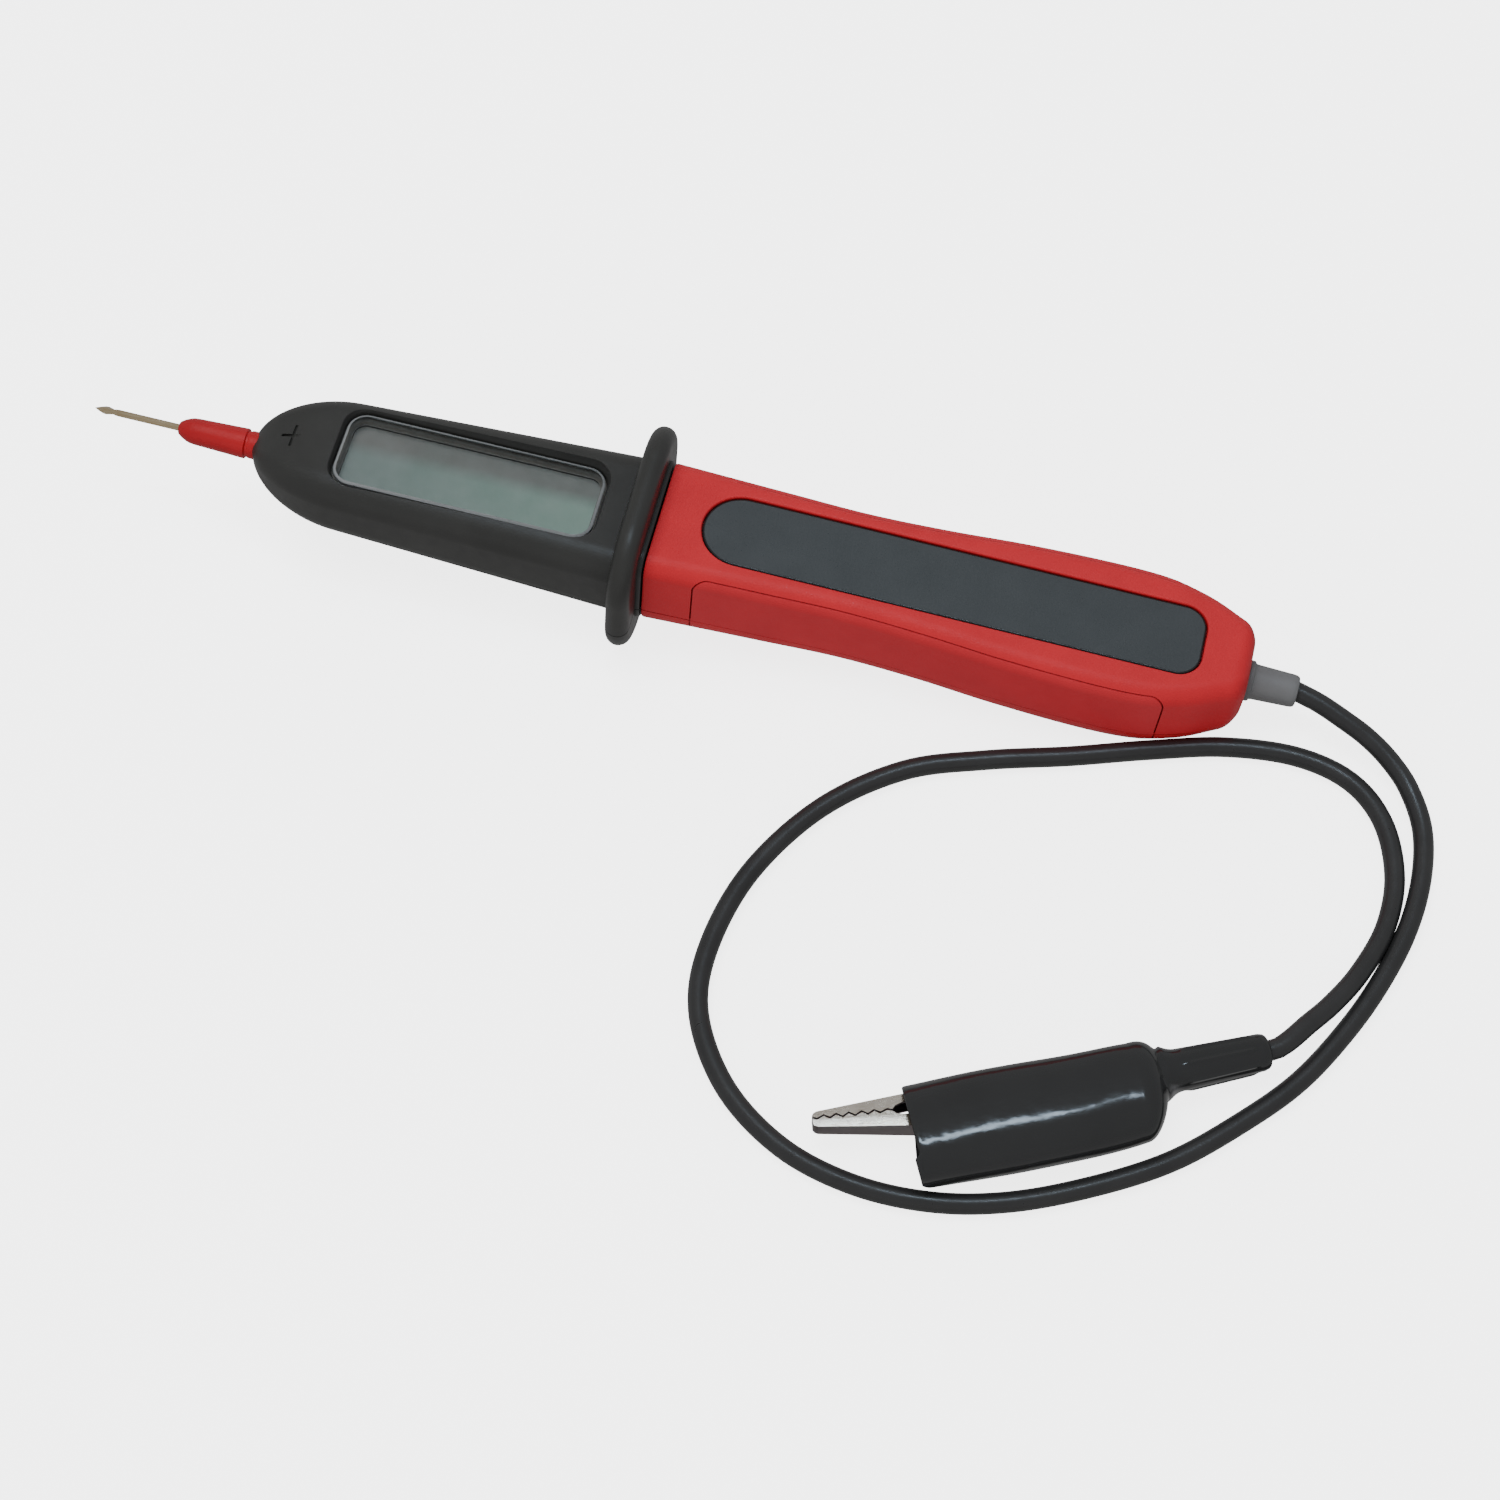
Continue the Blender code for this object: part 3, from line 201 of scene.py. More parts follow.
# The free lead's route from the strain relief to the clip's tail.
LEAD_ROUTE = (
    (121.2, -1.1, 8.2), (125.8, -2.8, 7.3), (131.0, -4.9, 6.0), (135.9, -8.0, 4.6),
    (140.3, -12.4, 3.2), (144.0, -19.8, 2.2), (145.2, -29.5, 1.95), (144.3, -40.0, 1.95),
    (141.5, -50.6, 1.95), (136.9, -62.1, 1.95), (129.9, -74.7, 1.95), (121.1, -85.1, 1.95),
    (110.3, -95.3, 1.95), (97.5, -103.3, 1.95), (84.1, -109.4, 1.95), (70.9, -112.5, 1.95),
    (57.1, -112.4, 1.95), (43.6, -108.5, 1.95), (31.6, -99.8, 1.95), (23.6, -87.0, 1.95),
    (22.2, -73.5, 1.95), (26.0, -57.0, 1.95), (35.4, -41.2, 1.95), (48.5, -29.9, 1.95),
    (62.9, -24.1, 1.95), (77.9, -19.6, 1.95), (92.4, -14.7, 1.95), (105.9, -10.8, 1.95),
    (119.1, -9.7, 1.95), (129.6, -12.6, 1.95), (136.7, -19.7, 1.95), (140.4, -30.4, 1.95),
    (140.2, -41.5, 2.3), (136.9, -52.1, 3.3), (132.9, -60.0, 4.6), (129.3, -65.4, 5.6),
    (126.9, -69.1, 6.2), (125.0, -71.4, 6.3),
)
LEAD_SPACING = 1.6
LEAD_OVERLAP = 0.9             # how far the lead reaches into the relief and into the boot's tail


def shift(x, y, z):
    """Matrix that moves by millimetres."""
    return Matrix.Translation(Vector((x, y, z)) * MM)


def spin(angle, axis):
    """Matrix that turns about an axis."""
    return Matrix.Rotation(angle, 4, axis)


TESTER = shift(TESTER_X, 0.0, AXIS_HEIGHT) @ spin(PITCH, "Y")
PROBE = TESTER @ shift(0.0, 0.0, -PROBE_DROP)
BOOT = shift(BOOT_X, BOOT_Y, BOOT_HALF_HEIGHT) @ spin(BOOT_HEADING, "Z")
PIVOT_X = JAW_TIP_X + JAW_LENGTH * cos(JAW_HEADING)
PIVOT_Y = JAW_TIP_Y + JAW_LENGTH * sin(JAW_HEADING)
JAWS = shift(PIVOT_X, PIVOT_Y, BOOT_HALF_HEIGHT) @ spin(JAW_HEADING, "Z")


# Mesh helpers

def link(name, data, matrix=None):
    """Put new data into the scene."""
    piece = bpy.data.objects.new(name, data)
    bpy.context.scene.collection.objects.link(piece)
    if matrix is not None:
        piece.matrix_world = matrix
    return piece


def link_mesh(name, mesh, matrix=None):
    """Put a finished bmesh into the scene."""
    data = bpy.data.meshes.new(name)
    mesh.to_mesh(data)
    mesh.free()
    return link(name, data, matrix)


def frozen(piece):
    """Replace a piece by the mesh that it evaluates to, with its loose caps welded."""
    bpy.context.view_layer.update()
    evaluated = piece.evaluated_get(bpy.context.evaluated_depsgraph_get())
    mesh = bpy.data.meshes.new_from_object(evaluated)
    work = bmesh.new()
    work.from_mesh(mesh)
    bmesh.ops.remove_doubles(work, verts=work.verts, dist=WELD)
    bmesh.ops.recalc_face_normals(work, faces=work.faces)
    work.to_mesh(mesh)
    work.free()
    name = piece.name
    matrix = piece.matrix_world.copy()
    bpy.data.objects.remove(piece)
    return link(name, mesh, matrix)


def combined(target, tools, operation):
    """The target after one Boolean with each tool, which is used up."""
    for tool in tools:
        modifier = target.modifiers.new(tool.name, "BOOLEAN")
        modifier.operation = operation
        modifier.object = tool
    result = frozen(target)
    for tool in tools:
        bpy.data.objects.remove(tool)
    return result


def cut(target, *tools):
    return combined(target, tools, "DIFFERENCE")


def join(target, *tools):
    return combined(target, tools, "UNION")


def meet(target, *tools):
    return combined(target, tools, "INTERSECT")


def bridge(mesh, before, after):
    """Side faces between two loops of points; either loop may be a single point."""
    for i in range(max(len(before), len(after))):
        corners = (before[i % len(before)], before[(i + 1) % len(before)],
                   after[(i + 1) % len(after)], after[i % len(after)])
        mesh.faces.new(list(dict.fromkeys(corners)))


def skin(name, rings, matrix):
    """Closed solid through rings of points, which all have the same point count."""
    mesh = bmesh.new()
    loops = [[mesh.verts.new(Vector(point) * MM) for point in ring] for ring in rings]
    for before, after in zip(loops, loops[1:]):
        bridge(mesh, before, after)
    mesh.faces.new(loops[0])
    mesh.faces.new(loops[-1])
    bmesh.ops.recalc_face_normals(mesh, faces=mesh.faces)
    return link_mesh(name, mesh, matrix)


def loft(name, sections, matrix):
    """Solid along X through sections, each an x and a ring of (y, z)."""
    return skin(name, [[(x, y, z) for y, z in ring] for x, ring in sections], matrix)


def stack(name, layers, matrix):
    """Solid along Z through layers, each a z and an outline of (x, y)."""
    return skin(name, [[(x, y, z) for x, y in outline] for z, outline in layers], matrix)


def box(name, low, high, matrix):
    outline = ((low[0], low[1]), (high[0], low[1]), (high[0], high[1]), (low[0], high[1]))
    return plate(name, outline, low[2], high[2], matrix)


def turned(name, profile, matrix, sides=64):
    """Solid turned about X from a closed or axis-to-axis profile of (x, radius) points."""
    mesh = bmesh.new()
    loops = []
    for x, radius in profile:
        angles = [2 * pi * i / sides for i in range(sides if radius else 1)]
        loops.append([mesh.verts.new(Vector((x, radius * cos(a), radius * sin(a))) * MM) for a in angles])
    if profile[0][1] > 0:
        loops.append(loops[0])
    for before, after in zip(loops, loops[1:]):
        bridge(mesh, before, after)
    bmesh.ops.recalc_face_normals(mesh, faces=mesh.faces)
    return link_mesh(name, mesh, matrix)


def rod(name, low_x, high_x, radius, matrix):
    """Round bar along X."""
    return turned(name, ((low_x, 0.0), (low_x, radius), (high_x, radius), (high_x, 0.0)), matrix)


def plate(name, outline, low_z, high_z, matrix, edge=0.0):
    """Flat outline of (x, y) points between two heights; edge rounds its rims."""
    mesh = bmesh.new()
    floor = mesh.faces.new([mesh.verts.new(Vector((x, y, low_z)) * MM) for x, y in outline])
    raised = bmesh.ops.extrude_face_region(mesh, geom=[floor])["geom"]
    moved = [item for item in raised if isinstance(item, bmesh.types.BMVert)]
    bmesh.ops.translate(mesh, vec=(0.0, 0.0, (high_z - low_z) * MM), verts=moved)
    bmesh.ops.recalc_face_normals(mesh, faces=mesh.faces)
    if edge > 0:
        rims = [e for e in mesh.edges if abs(e.verts[0].co.z - e.verts[1].co.z) < 0.1 * MM]
        bmesh.ops.bevel(mesh, geom=rims, offset=edge * MM, segments=4, profile=0.5, affect="EDGES")
    return link_mesh(name, mesh, matrix)


def tube(name, points, radius, matrix):
    """Round wire or lead through points, with closed ends."""
    curve = bpy.data.curves.new(name, "CURVE")
    curve.dimensions = "3D"
    curve.bevel_depth = radius * MM
    curve.bevel_resolution = 6
    curve.use_fill_caps = True
    spline = curve.splines.new("POLY")
    spline.points.add(len(points) - 1)
    for point, place in zip(spline.points, points):
        point.co = (*(Vector(place) * MM), 1.0)
    spline.use_smooth = True
    return link(name, curve, matrix)


def shade(piece, sharp_angle=SHARP_ANGLE):
    """Smooth shading over round faces, with flat faces kept flat."""
    piece.data.shade_smooth()
    piece.data.set_sharp_from_angle(angle=radians(sharp_angle))
    weighted = piece.modifiers.new("flat faces stay flat", "WEIGHTED_NORMAL")
    weighted.keep_sharp = True
    weighted.weight = 60


def finish(piece, slot, *replaces, body="tester", sharp_angle=SHARP_ANGLE):
    """Give a piece its look and its place in the frame; it replaces the named nodes."""
    piece.data.materials.clear()
    piece.data.materials.append(MATERIALS[slot])
    if piece.type == "MESH":
        shade(piece, sharp_angle)
    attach(piece, body)
    if replaces:
        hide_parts(*replaces)
    return piece


def second_look(piece, name, chosen):
    """Give the chosen faces of a piece another material."""
    piece.data.materials.append(MATERIALS[name])
    for face in piece.data.polygons:
        if chosen(face):
            face.material_index = 1


# Curves and sections

def smooth_value(x, knots):
    """Value at x of the smooth curve through knots, a rising list of (x, value)."""
    if x <= knots[0][0]:
        return knots[0][1]
    if x >= knots[-1][0]:
        return knots[-1][1]
    index = max(i for i in range(len(knots) - 1) if knots[i][0] <= x)
    (x0, y0), (x1, y1) = knots[index], knots[index + 1]
    before = knots[max(index - 1, 0)]
    after = knots[min(index + 2, len(knots) - 1)]
    slope0 = (y1 - before[1]) / (x1 - before[0])
    slope1 = (after[1] - y0) / (after[0] - x0)
    t = (x - x0) / (x1 - x0)
    span = x1 - x0
    return (
        (2 * t**3 - 3 * t**2 + 1) * y0
        + (t**3 - 2 * t**2 + t) * span * slope0
        + (3 * t**2 - 2 * t**3) * y1
        + (t**3 - t**2) * span * slope1
    )


def smooth_route(points, spacing):
    """Points a fixed spacing apart on the smooth curve through a route's points."""
    route = [Vector(p) for p in points]
    route = [2 * route[0] - route[1]] + route + [2 * route[-1] - route[-2]]
    dense = []
    for a, b, c, d in zip(route, route[1:], route[2:], route[3:]):
        for step in range(40):
            t = step / 40
            dense.append(
                0.5 * (2 * b + (c - a) * t + (2 * a - 5 * b + 4 * c - d) * t**2
                       + (3 * b - a - 3 * c + d) * t**3)
            )
    dense.append(Vector(points[-1]))
    total = sum((q - p).length for p, q in zip(dense, dense[1:]))
    count = max(2, round(total / spacing))
    placed = [dense[0]]
    walked = 0.0
    for p, q in zip(dense, dense[1:]):
        step = (q - p).length
        while walked + step >= len(placed) * total / count - 1e-9 and len(placed) < count:
            placed.append(p.lerp(q, (len(placed) * total / count - walked) / step))
        walked += step
    placed.append(dense[-1])
    return placed


def corner(x, y, radius, start):
    """Quarter of a circle about (x, y), from an angle in degrees."""
    angles = [radians(start + 90 * step / CORNER_STEPS) for step in range(CORNER_STEPS + 1)]
    return [(x + radius * cos(angle), y + radius * sin(angle)) for angle in angles]


def rounded_section(half_width, top, bottom, top_radius, bottom_radius):
    """Ring of (y, z) round a rectangle with rounded corners."""
    return (
        corner(half_width - top_radius, top - top_radius, top_radius, 0)
        + corner(top_radius - half_width, top - top_radius, top_radius, 90)
        + corner(bottom_radius - half_width, bottom_radius - bottom, bottom_radius, 180)
        + corner(half_width - bottom_radius, bottom_radius - bottom, bottom_radius, 270)
    )


def rounded_outline(low_x, high_x, half_width, low_radius, high_radius):
    """Flat (x, y) outline of a rectangle whose two ends have their own corner radii."""
    return (
        corner(high_x - high_radius, half_width - high_radius, high_radius, 0)
        + corner(low_x + low_radius, half_width - low_radius, low_radius, 90)
        + corner(low_x + low_radius, low_radius - half_width, low_radius, 180)
        + corner(high_x - high_radius, high_radius - half_width, high_radius, 270)
    )


def head_section(x, inset=0.0):
    """Half width, top, bottom and two corner radii of the head at x; the nose is an ellipsoid."""
    along = (x - NOSE_START_X) / (HEAD_END_X - NOSE_START_X)
    nose = 1.0
    if x < NOSE_START_X:
        nose = sqrt(1 - ((NOSE_START_X - x) / (NOSE_START_X - NOSE_TIP_X)) ** 2)
    sizes = [
        (front + (rear - front) * along) * nose - inset
        for front, rear in zip(HEAD_FRONT, HEAD_REAR)
    ]
    radii = [max(radius * nose - inset, 0.4) for radius in HEAD_RADII]
    return (*sizes, *radii)


def handle_top(x):
    return HANDLE_TOP - HANDLE_TOP_FALL * x


def handle_section(x, inset=0.0, top_inset=None):
    """The handle's section at x; its rear end is rounded over in height as well as in plan."""
    end_radius = HANDLE_END_X - END_ROUND_X
    drop = 0.0
    if x > END_ROUND_X:
        drop = end_radius - sqrt(max(end_radius**2 - (x - END_ROUND_X) ** 2, 0.0))
    if top_inset is None:
        top_inset = inset
    half_width = smooth_value(x, HANDLE_WIDTHS) - inset
    top = handle_top(x) - drop - top_inset
    bottom = smooth_value(x, HANDLE_DEPTHS) - drop - inset
    radii = [max(radius - inset, 1.0) for radius in HANDLE_RADII]
    return (half_width, top, bottom, *radii)


def arc(radius, start, end, steps=16):
    """Arc about the origin, angles in degrees."""
    angles = [radians(start + (end - start) * step / steps) for step in range(steps + 1)]
    return [(radius * cos(a), radius * sin(a)) for a in angles]


def circle(radius):
    """Outline of a round hole."""
    return arc(radius, 0, 345, 23)


def lip_steps():
    """Rise and spread of a rounded lip at each of its steps."""
    angles = [radians(angle) for angle in range(0, 91, 15)]
    return [(LIP * sin(a), LIP * (1 - cos(a))) for a in angles]


# Materials: most are a Principled surface with fine grain, large mottling and worn edges.

WORN_EDGE = 0.25             # reach of the wear from an edge
DRIFT_SCALE = 0.12           # noise waves to the millimetre, as in the three lines below
SMUDGE_SCALE = 0.45
DRAWN_LINES = (0.25, 9.0, 9.0)
HAIRLINES = (0.18, 2.6, 2.6)
HAIRLINE_TURN = 0.35         # radians
DRAWN_DEPTH = 0.006


def new_tree(name):
    """A material, its node tree and its Principled surface."""
    made = bpy.data.materials.new(name)
    made.use_nodes = True
    return made, made.node_tree, made.node_tree.nodes["Principled BSDF"]


def set_inputs(tree, node, inputs):
    """Link inputs of a node to sockets or set them to values; a colour gets its alpha here."""
    for key, value in inputs.items():
        socket = node.inputs[key]
        if isinstance(value, bpy.types.NodeSocket):
            tree.links.new(value, socket)
        elif socket.type == "RGBA":
            socket.default_value = (*value, 1.0)
        else:
            socket.default_value = value


def add_node(tree, kind, inputs, **settings):
    node = tree.nodes.new("ShaderNode" + kind)
    for name, value in settings.items():
        setattr(node, name, value)
    set_inputs(tree, node, inputs)
    return node


def place_of(tree):
    """Where a shaded point is on its object, from the tree's one coordinate node."""
    source = tree.nodes.get("Texture Coordinate") or add_node(tree, "TexCoord", {})
    return source.outputs["Object"]


def axes_of(tree):
    """X, Y and Z of a shaded point on its object."""
    return add_node(tree, "SeparateXYZ", {0: place_of(tree)}).outputs


def own_millimetres(tree):
    scaled = add_node(tree, "VectorMath", {0: place_of(tree), "Scale": 1 / MM}, operation="SCALE")
    return scaled.outputs["Vector"]


def stretched(tree, per_millimetre, turn=0.0):
    """The object's own place, stretched along each axis and turned about Z."""
    inputs = {
        "Vector": place_of(tree), "Scale": tuple(s / MM for s in per_millimetre),
        "Rotation": (0.0, 0.0, turn),
    }
    return add_node(tree, "Mapping", inputs).outputs["Vector"]


def combined_value(tree, operation, first, second, **settings):
    """Sum or product of two values."""
    return add_node(tree, "Math", {0: first, 1: second}, operation=operation, **settings).outputs["Value"]


def colour_of(surface):
    """The socket that colours a surface so far."""
    return surface.inputs["Base Color"].links[0].from_socket


def noise_node(tree, place, scale, detail=2.0):
    return add_node(tree, "TexNoise", {"Scale": scale, "Detail": detail, "Vector": place}).outputs["Fac"]


def ranged(tree, value, low, high, from_low=0.3, from_high=0.7):
    """Map a value to a range, from the middle part of a noise if nothing else is said."""
    inputs = {"From Min": from_low, "From Max": from_high, "To Min": low, "To Max": high, "Value": value}
    return add_node(tree, "MapRange", inputs).outputs["Result"]


def mixed(tree, factor, first, second):
    """Colour mix; first and second are colours or sockets."""
    return add_node(tree, "Mix", {"Factor": factor, 6: first, 7: second}, data_type="RGBA").outputs[2]


def worn_edges(tree, wear):
    """How worn a point is: up to wear on edges, where the rounded normal leaves the true one."""
    rounded = add_node(tree, "Bevel", {"Radius": WORN_EDGE * MM}, samples=4).outputs["Normal"]
    normal = add_node(tree, "NewGeometry", {}).outputs["Normal"]
    facing = add_node(tree, "VectorMath", {0: rounded, 1: normal}, operation="DOT_PRODUCT")
    return ranged(tree, facing.outputs["Value"], wear, 0.0, 0.75, 0.98)


def moulded(name, colour, roughness, grain=4.0, grain_depth=0.01, mottle=0.08, wear=0.12, metallic=0.0,
            sparkle=0.0, shine=0.5):
    """Plastic, rubber or metal. Grain is per millimetre and its depth in millimetres.

    Mottle is how far the colour and roughness drift over a centimetre, wear how much edges pale,
    sparkle how much single grains shine, and shine how strongly the surface mirrors.
    """
    made, tree, surface = new_tree(name)
    place = own_millimetres(tree)
    large = noise_node(tree, place, DRIFT_SCALE, 3.0)
    fine = noise_node(tree, place, grain)
    darker = tuple(c * (1 - mottle) for c in colour)
    paler = tuple(min(c * (1 + mottle) + 0.01 * mottle, 1.0) for c in colour)
    tone = mixed(tree, ranged(tree, large, 0.0, 1.0), darker, paler)
    worn = tuple(min(c * 1.5 + 0.06, 1.0) for c in colour)
    tone = mixed(tree, worn_edges(tree, wear), tone, worn)

    smudges = noise_node(tree, place, SMUDGE_SCALE, 4.0)
    gloss = ranged(tree, smudges, roughness - 0.5 * mottle, roughness + 0.5 * mottle)
    if sparkle:
        glints = ranged(tree, fine, 0.0, -sparkle, 0.62, 0.72)
        gloss = combined_value(tree, "ADD", gloss, glints, use_clamp=True)
    bump = add_node(tree, "Bump", {"Strength": 1.0, "Distance": grain_depth * MM, "Height": fine})
    set_inputs(tree, surface, {
        "Metallic": metallic, "Specular IOR Level": shine, "Base Color": tone, "Roughness": gloss,
        "Normal": bump.outputs["Normal"],
    })
    return made


def brushed(name, colour, roughness, tint):
    """Plated metal with fine drawn lines; tint is the colour where the plating is thin."""
    made = moulded(name, colour, roughness, grain=2.0, grain_depth=0.003, mottle=0.06, wear=0.3, metallic=1.0)
    tree = made.node_tree
    surface = tree.nodes["Principled BSDF"]
    lines = noise_node(tree, stretched(tree, DRAWN_LINES), 1.0, 3.0)
    tone = mixed(tree, ranged(tree, lines, 0.0, 0.8, 0.45, 0.7), colour_of(surface), tint)
    set_inputs(tree, surface, {"Base Color": tone})
    set_inputs(tree, tree.nodes["Bump"], {"Distance": DRAWN_DEPTH * MM, "Height": lines})
    return made


def clear_acrylic():
    """Clear window: see-through with a faint mirror skin, hairline scratches and a breath of haze."""
    made, tree, mirror = new_tree("clear acrylic")
    cloud = noise_node(tree, own_millimetres(tree), 0.15, 3.0)
    tint = mixed(tree, ranged(tree, cloud, 0.0, 1.0), (0.95, 0.97, 0.965), (0.985, 0.99, 0.99))
    through = add_node(tree, "BsdfTransparent", {"Color": tint})
    hairs = noise_node(tree, stretched(tree, HAIRLINES, HAIRLINE_TURN), 1.0)
    gloss = ranged(tree, hairs, 0.05, 0.3, 0.62, 0.75)
    set_inputs(tree, mirror, {"Base Color": (0.75, 0.8, 0.8), "Metallic": 1.0, "Roughness": gloss})
    fresnel = add_node(tree, "Fresnel", {"IOR": 1.45})
    blend = add_node(tree, "MixShader", {
        "Fac": fresnel.outputs["Fac"], 1: through.outputs["BSDF"], 2: mirror.outputs["BSDF"],
    })
    set_inputs(tree, tree.nodes["Material Output"], {"Surface": blend.outputs["Shader"]})
    return made


def liquid_crystal():
    """Unlit display with painted shade and reflection: grey green near the viewer, darker towards its far
    edge where the recess's far wall shades it, darker and greyer towards the nose, with a faint cloud.
    """
    made, tree, surface = new_tree("liquid crystal with painted shade")
    axes = axes_of(tree)
    # Painted shade: the dark far band stands in for the shadow and reflection of the recess's far wall on the
    # display.
    across = ranged(tree, axes["Y"], 0.0, 1.0, 0.5 * MM, 3.6 * MM)
    along = ranged(tree, axes["X"], 0.0, 1.0, -60 * MM, -8 * MM)
    # Painted light along the display: darker and greyer towards the nose, lighter and greener towards the
    # guard.
    near_painted_light = mixed(tree, along, (0.16, 0.19, 0.185), (0.2, 0.29, 0.25))
    far_painted_shade = mixed(tree, along, (0.14, 0.135, 0.13), (0.125, 0.13, 0.125))
    tone = mixed(tree, across, near_painted_light, far_painted_shade)
    cloud = noise_node(tree, own_millimetres(tree), 0.3, 3.0)
    cloudy = mixed(tree, ranged(tree, cloud, 0.0, 0.12), tone, (0.3, 0.34, 0.33))
    set_inputs(tree, surface, {"Base Color": cloudy, "Roughness": 0.32})
    return made


def vinyl_with_painted_neck_highlight():
    """Dipped vinyl with a painted highlight: paler at both sides of the boot's neck, where its concave webs
    catch the light.
    """
    made = moulded("dipped vinyl", (0.0155, 0.016, 0.0165), 0.13, grain=0.35, grain_depth=0.06, mottle=0.04,
                   wear=0.03)
    tree = made.node_tree
    surface = tree.nodes["Principled BSDF"]
    axes = axes_of(tree)

    def fade(axis, low, high, start, end):
        return ranged(tree, axes[axis], low, high, start * MM, end * MM)

    ahead = fade("X", 0.0, 1.0, TAIL_START_X - 1.2, TAIL_START_X)
    behind = fade("X", 1.0, 0.0, TAIL_START_X + 0.6, TAIL_START_X + 2.2)
    far = fade("Y", 0.0, 1.0, TAIL_OFFSET + 3.4, TAIL_OFFSET + 4.6)
    near = fade("Y", 1.0, 0.0, TAIL_OFFSET - 4.6, TAIL_OFFSET - 3.4)
    neck_highlight = combined_value(tree, "ADD", far, near)
    for limit in (ahead, behind):
        neck_highlight = combined_value(tree, "MULTIPLY", neck_highlight, limit)
    # The pale grey is the painted highlight on the neck's concave webs.
    set_inputs(tree, surface, {"Base Color": mixed(tree, neck_highlight, colour_of(surface), (0.16, 0.16, 0.165))})
    return made


MATERIALS = {
    "head_black": moulded("satin black plastic", (0.0195, 0.0197, 0.0185), 0.42, grain=5.0,
                          grain_depth=0.012),
    "handle_red": moulded("matt red plastic", (0.47, 0.0145, 0.0215), 0.5, grain=3.2, grain_depth=0.045,
                          mottle=0.05, sparkle=0.25, shine=0.3),
    "grip_red": moulded("soft red grip", (0.46, 0.0185, 0.026), 0.56, grain=5.5, grain_depth=0.03,
                        mottle=0.05, shine=0.35),
    "label_dark": moulded("dark label film", (0.031, 0.0365, 0.04), 0.42, grain=5.0, grain_depth=0.02,
                          mottle=0.06, sparkle=0.2),
    # Painted shade: the label's rounded rim is darkened for the groove round it.
    "label_rim_painted_shade": moulded("label rim darkened as painted shade", (0.009, 0.01, 0.011), 0.28),
    "relief_grey": moulded("grey moulded rubber", (0.115, 0.116, 0.119), 0.55, grain=3.5, grain_depth=0.02),
    "sleeve_red": moulded("red sleeve", (0.33, 0.008, 0.012), 0.4, grain=3.0, grain_depth=0.01, shine=0.3),
    "lead_black": moulded("lead sheath", (0.0185, 0.0185, 0.019), 0.33, grain=1.6, grain_depth=0.02,
                          mottle=0.12),
    "boot_vinyl": vinyl_with_painted_neck_highlight(),
    # Painted highlight: the window step's sloping rim is paled for the light line its edge catches.
    "window_rim_painted_highlight": moulded("window rim paled as painted highlight", (0.2, 0.21, 0.215), 0.3, grain=2.0),
    "bezel_brown": moulded("grey brown mask", (0.12, 0.112, 0.104), 0.5, grain=3.0),
    "frame_black": moulded("inner black plastic", (0.02, 0.02, 0.02), 0.55),
    "elastomer_grey": moulded("conductive rubber", (0.35, 0.3, 0.32), 0.7),
    "board_green": moulded("solder mask", (0.02, 0.16, 0.07), 0.42, grain=1.2, mottle=0.15),
    "component_black": moulded("chip epoxy", (0.02, 0.02, 0.022), 0.5, grain=6.0),
    "resistor_blue": moulded("resistor lacquer", (0.3, 0.45, 0.6), 0.35, grain=1.5),
    "capacitor_blue": moulded("can sleeve", (0.05, 0.06, 0.2), 0.3, grain=1.0),
    "trimmer_blue": moulded("trimmer body", (0.05, 0.15, 0.5), 0.35, grain=2.0),
    "needle_plating": brushed("worn plating", (0.72, 0.6, 0.4), 0.2, (0.55, 0.36, 0.16)),
    "contact_brass": brushed("brass", (0.75, 0.58, 0.3), 0.3, (0.6, 0.42, 0.18)),
    "screw_steel": brushed("zinc plated steel", (0.55, 0.55, 0.56), 0.32, (0.4, 0.4, 0.42)),
    "jaw_nickel": brushed("nickel plate", (0.66, 0.575, 0.48), 0.26, (0.52, 0.43, 0.33)),
    # Painted shade for the jaws' side walls and the faces inside their channels.
    "jaw_painted_shade": brushed("jaw sides and insides darkened as painted shade", (0.2, 0.165, 0.17), 0.4, (0.15, 0.12, 0.12)),
    "spring_steel": brushed("spring wire", (0.5, 0.5, 0.5), 0.25, (0.35, 0.35, 0.35)),
    "conductor_copper": brushed("copper strands", (0.72, 0.36, 0.2), 0.3, (0.5, 0.2, 0.1)),
    "window_clear": clear_acrylic(),
    "lcd_grey": liquid_crystal(),
}


# Camera and lead

CAMERA_LENS = 76.8
CAMERA_SENSOR = 36.0
CAMERA_PLACE = (0.0900, -0.3217, 0.5198)                     # metres
CAMERA_TILT = (radians(29.90), 0.0, radians(13.64))


def make_camera():
    data = bpy.data.cameras.new("camera")
    data.lens = CAMERA_LENS
    data.sensor_width = CAMERA_SENSOR
    data.clip_start = 0.01
    camera = link("camera", data)
    camera.location = CAMERA_PLACE
    camera.rotation_euler = CAMERA_TILT
    bpy.context.scene.camera = camera


def lead_start():
    reach = LEAD_EXIT_X + GAP
    return (TESTER_X + reach * cos(PITCH), 0.0, AXIS_HEIGHT - reach * sin(PITCH))


def lead_end():
    along = TAIL_END_X + GAP
    x = BOOT_X + along * cos(BOOT_HEADING) - TAIL_OFFSET * sin(BOOT_HEADING)
    y = BOOT_Y + along * sin(BOOT_HEADING) + TAIL_OFFSET * cos(BOOT_HEADING)
    return (x, y, BOOT_HALF_HEIGHT)


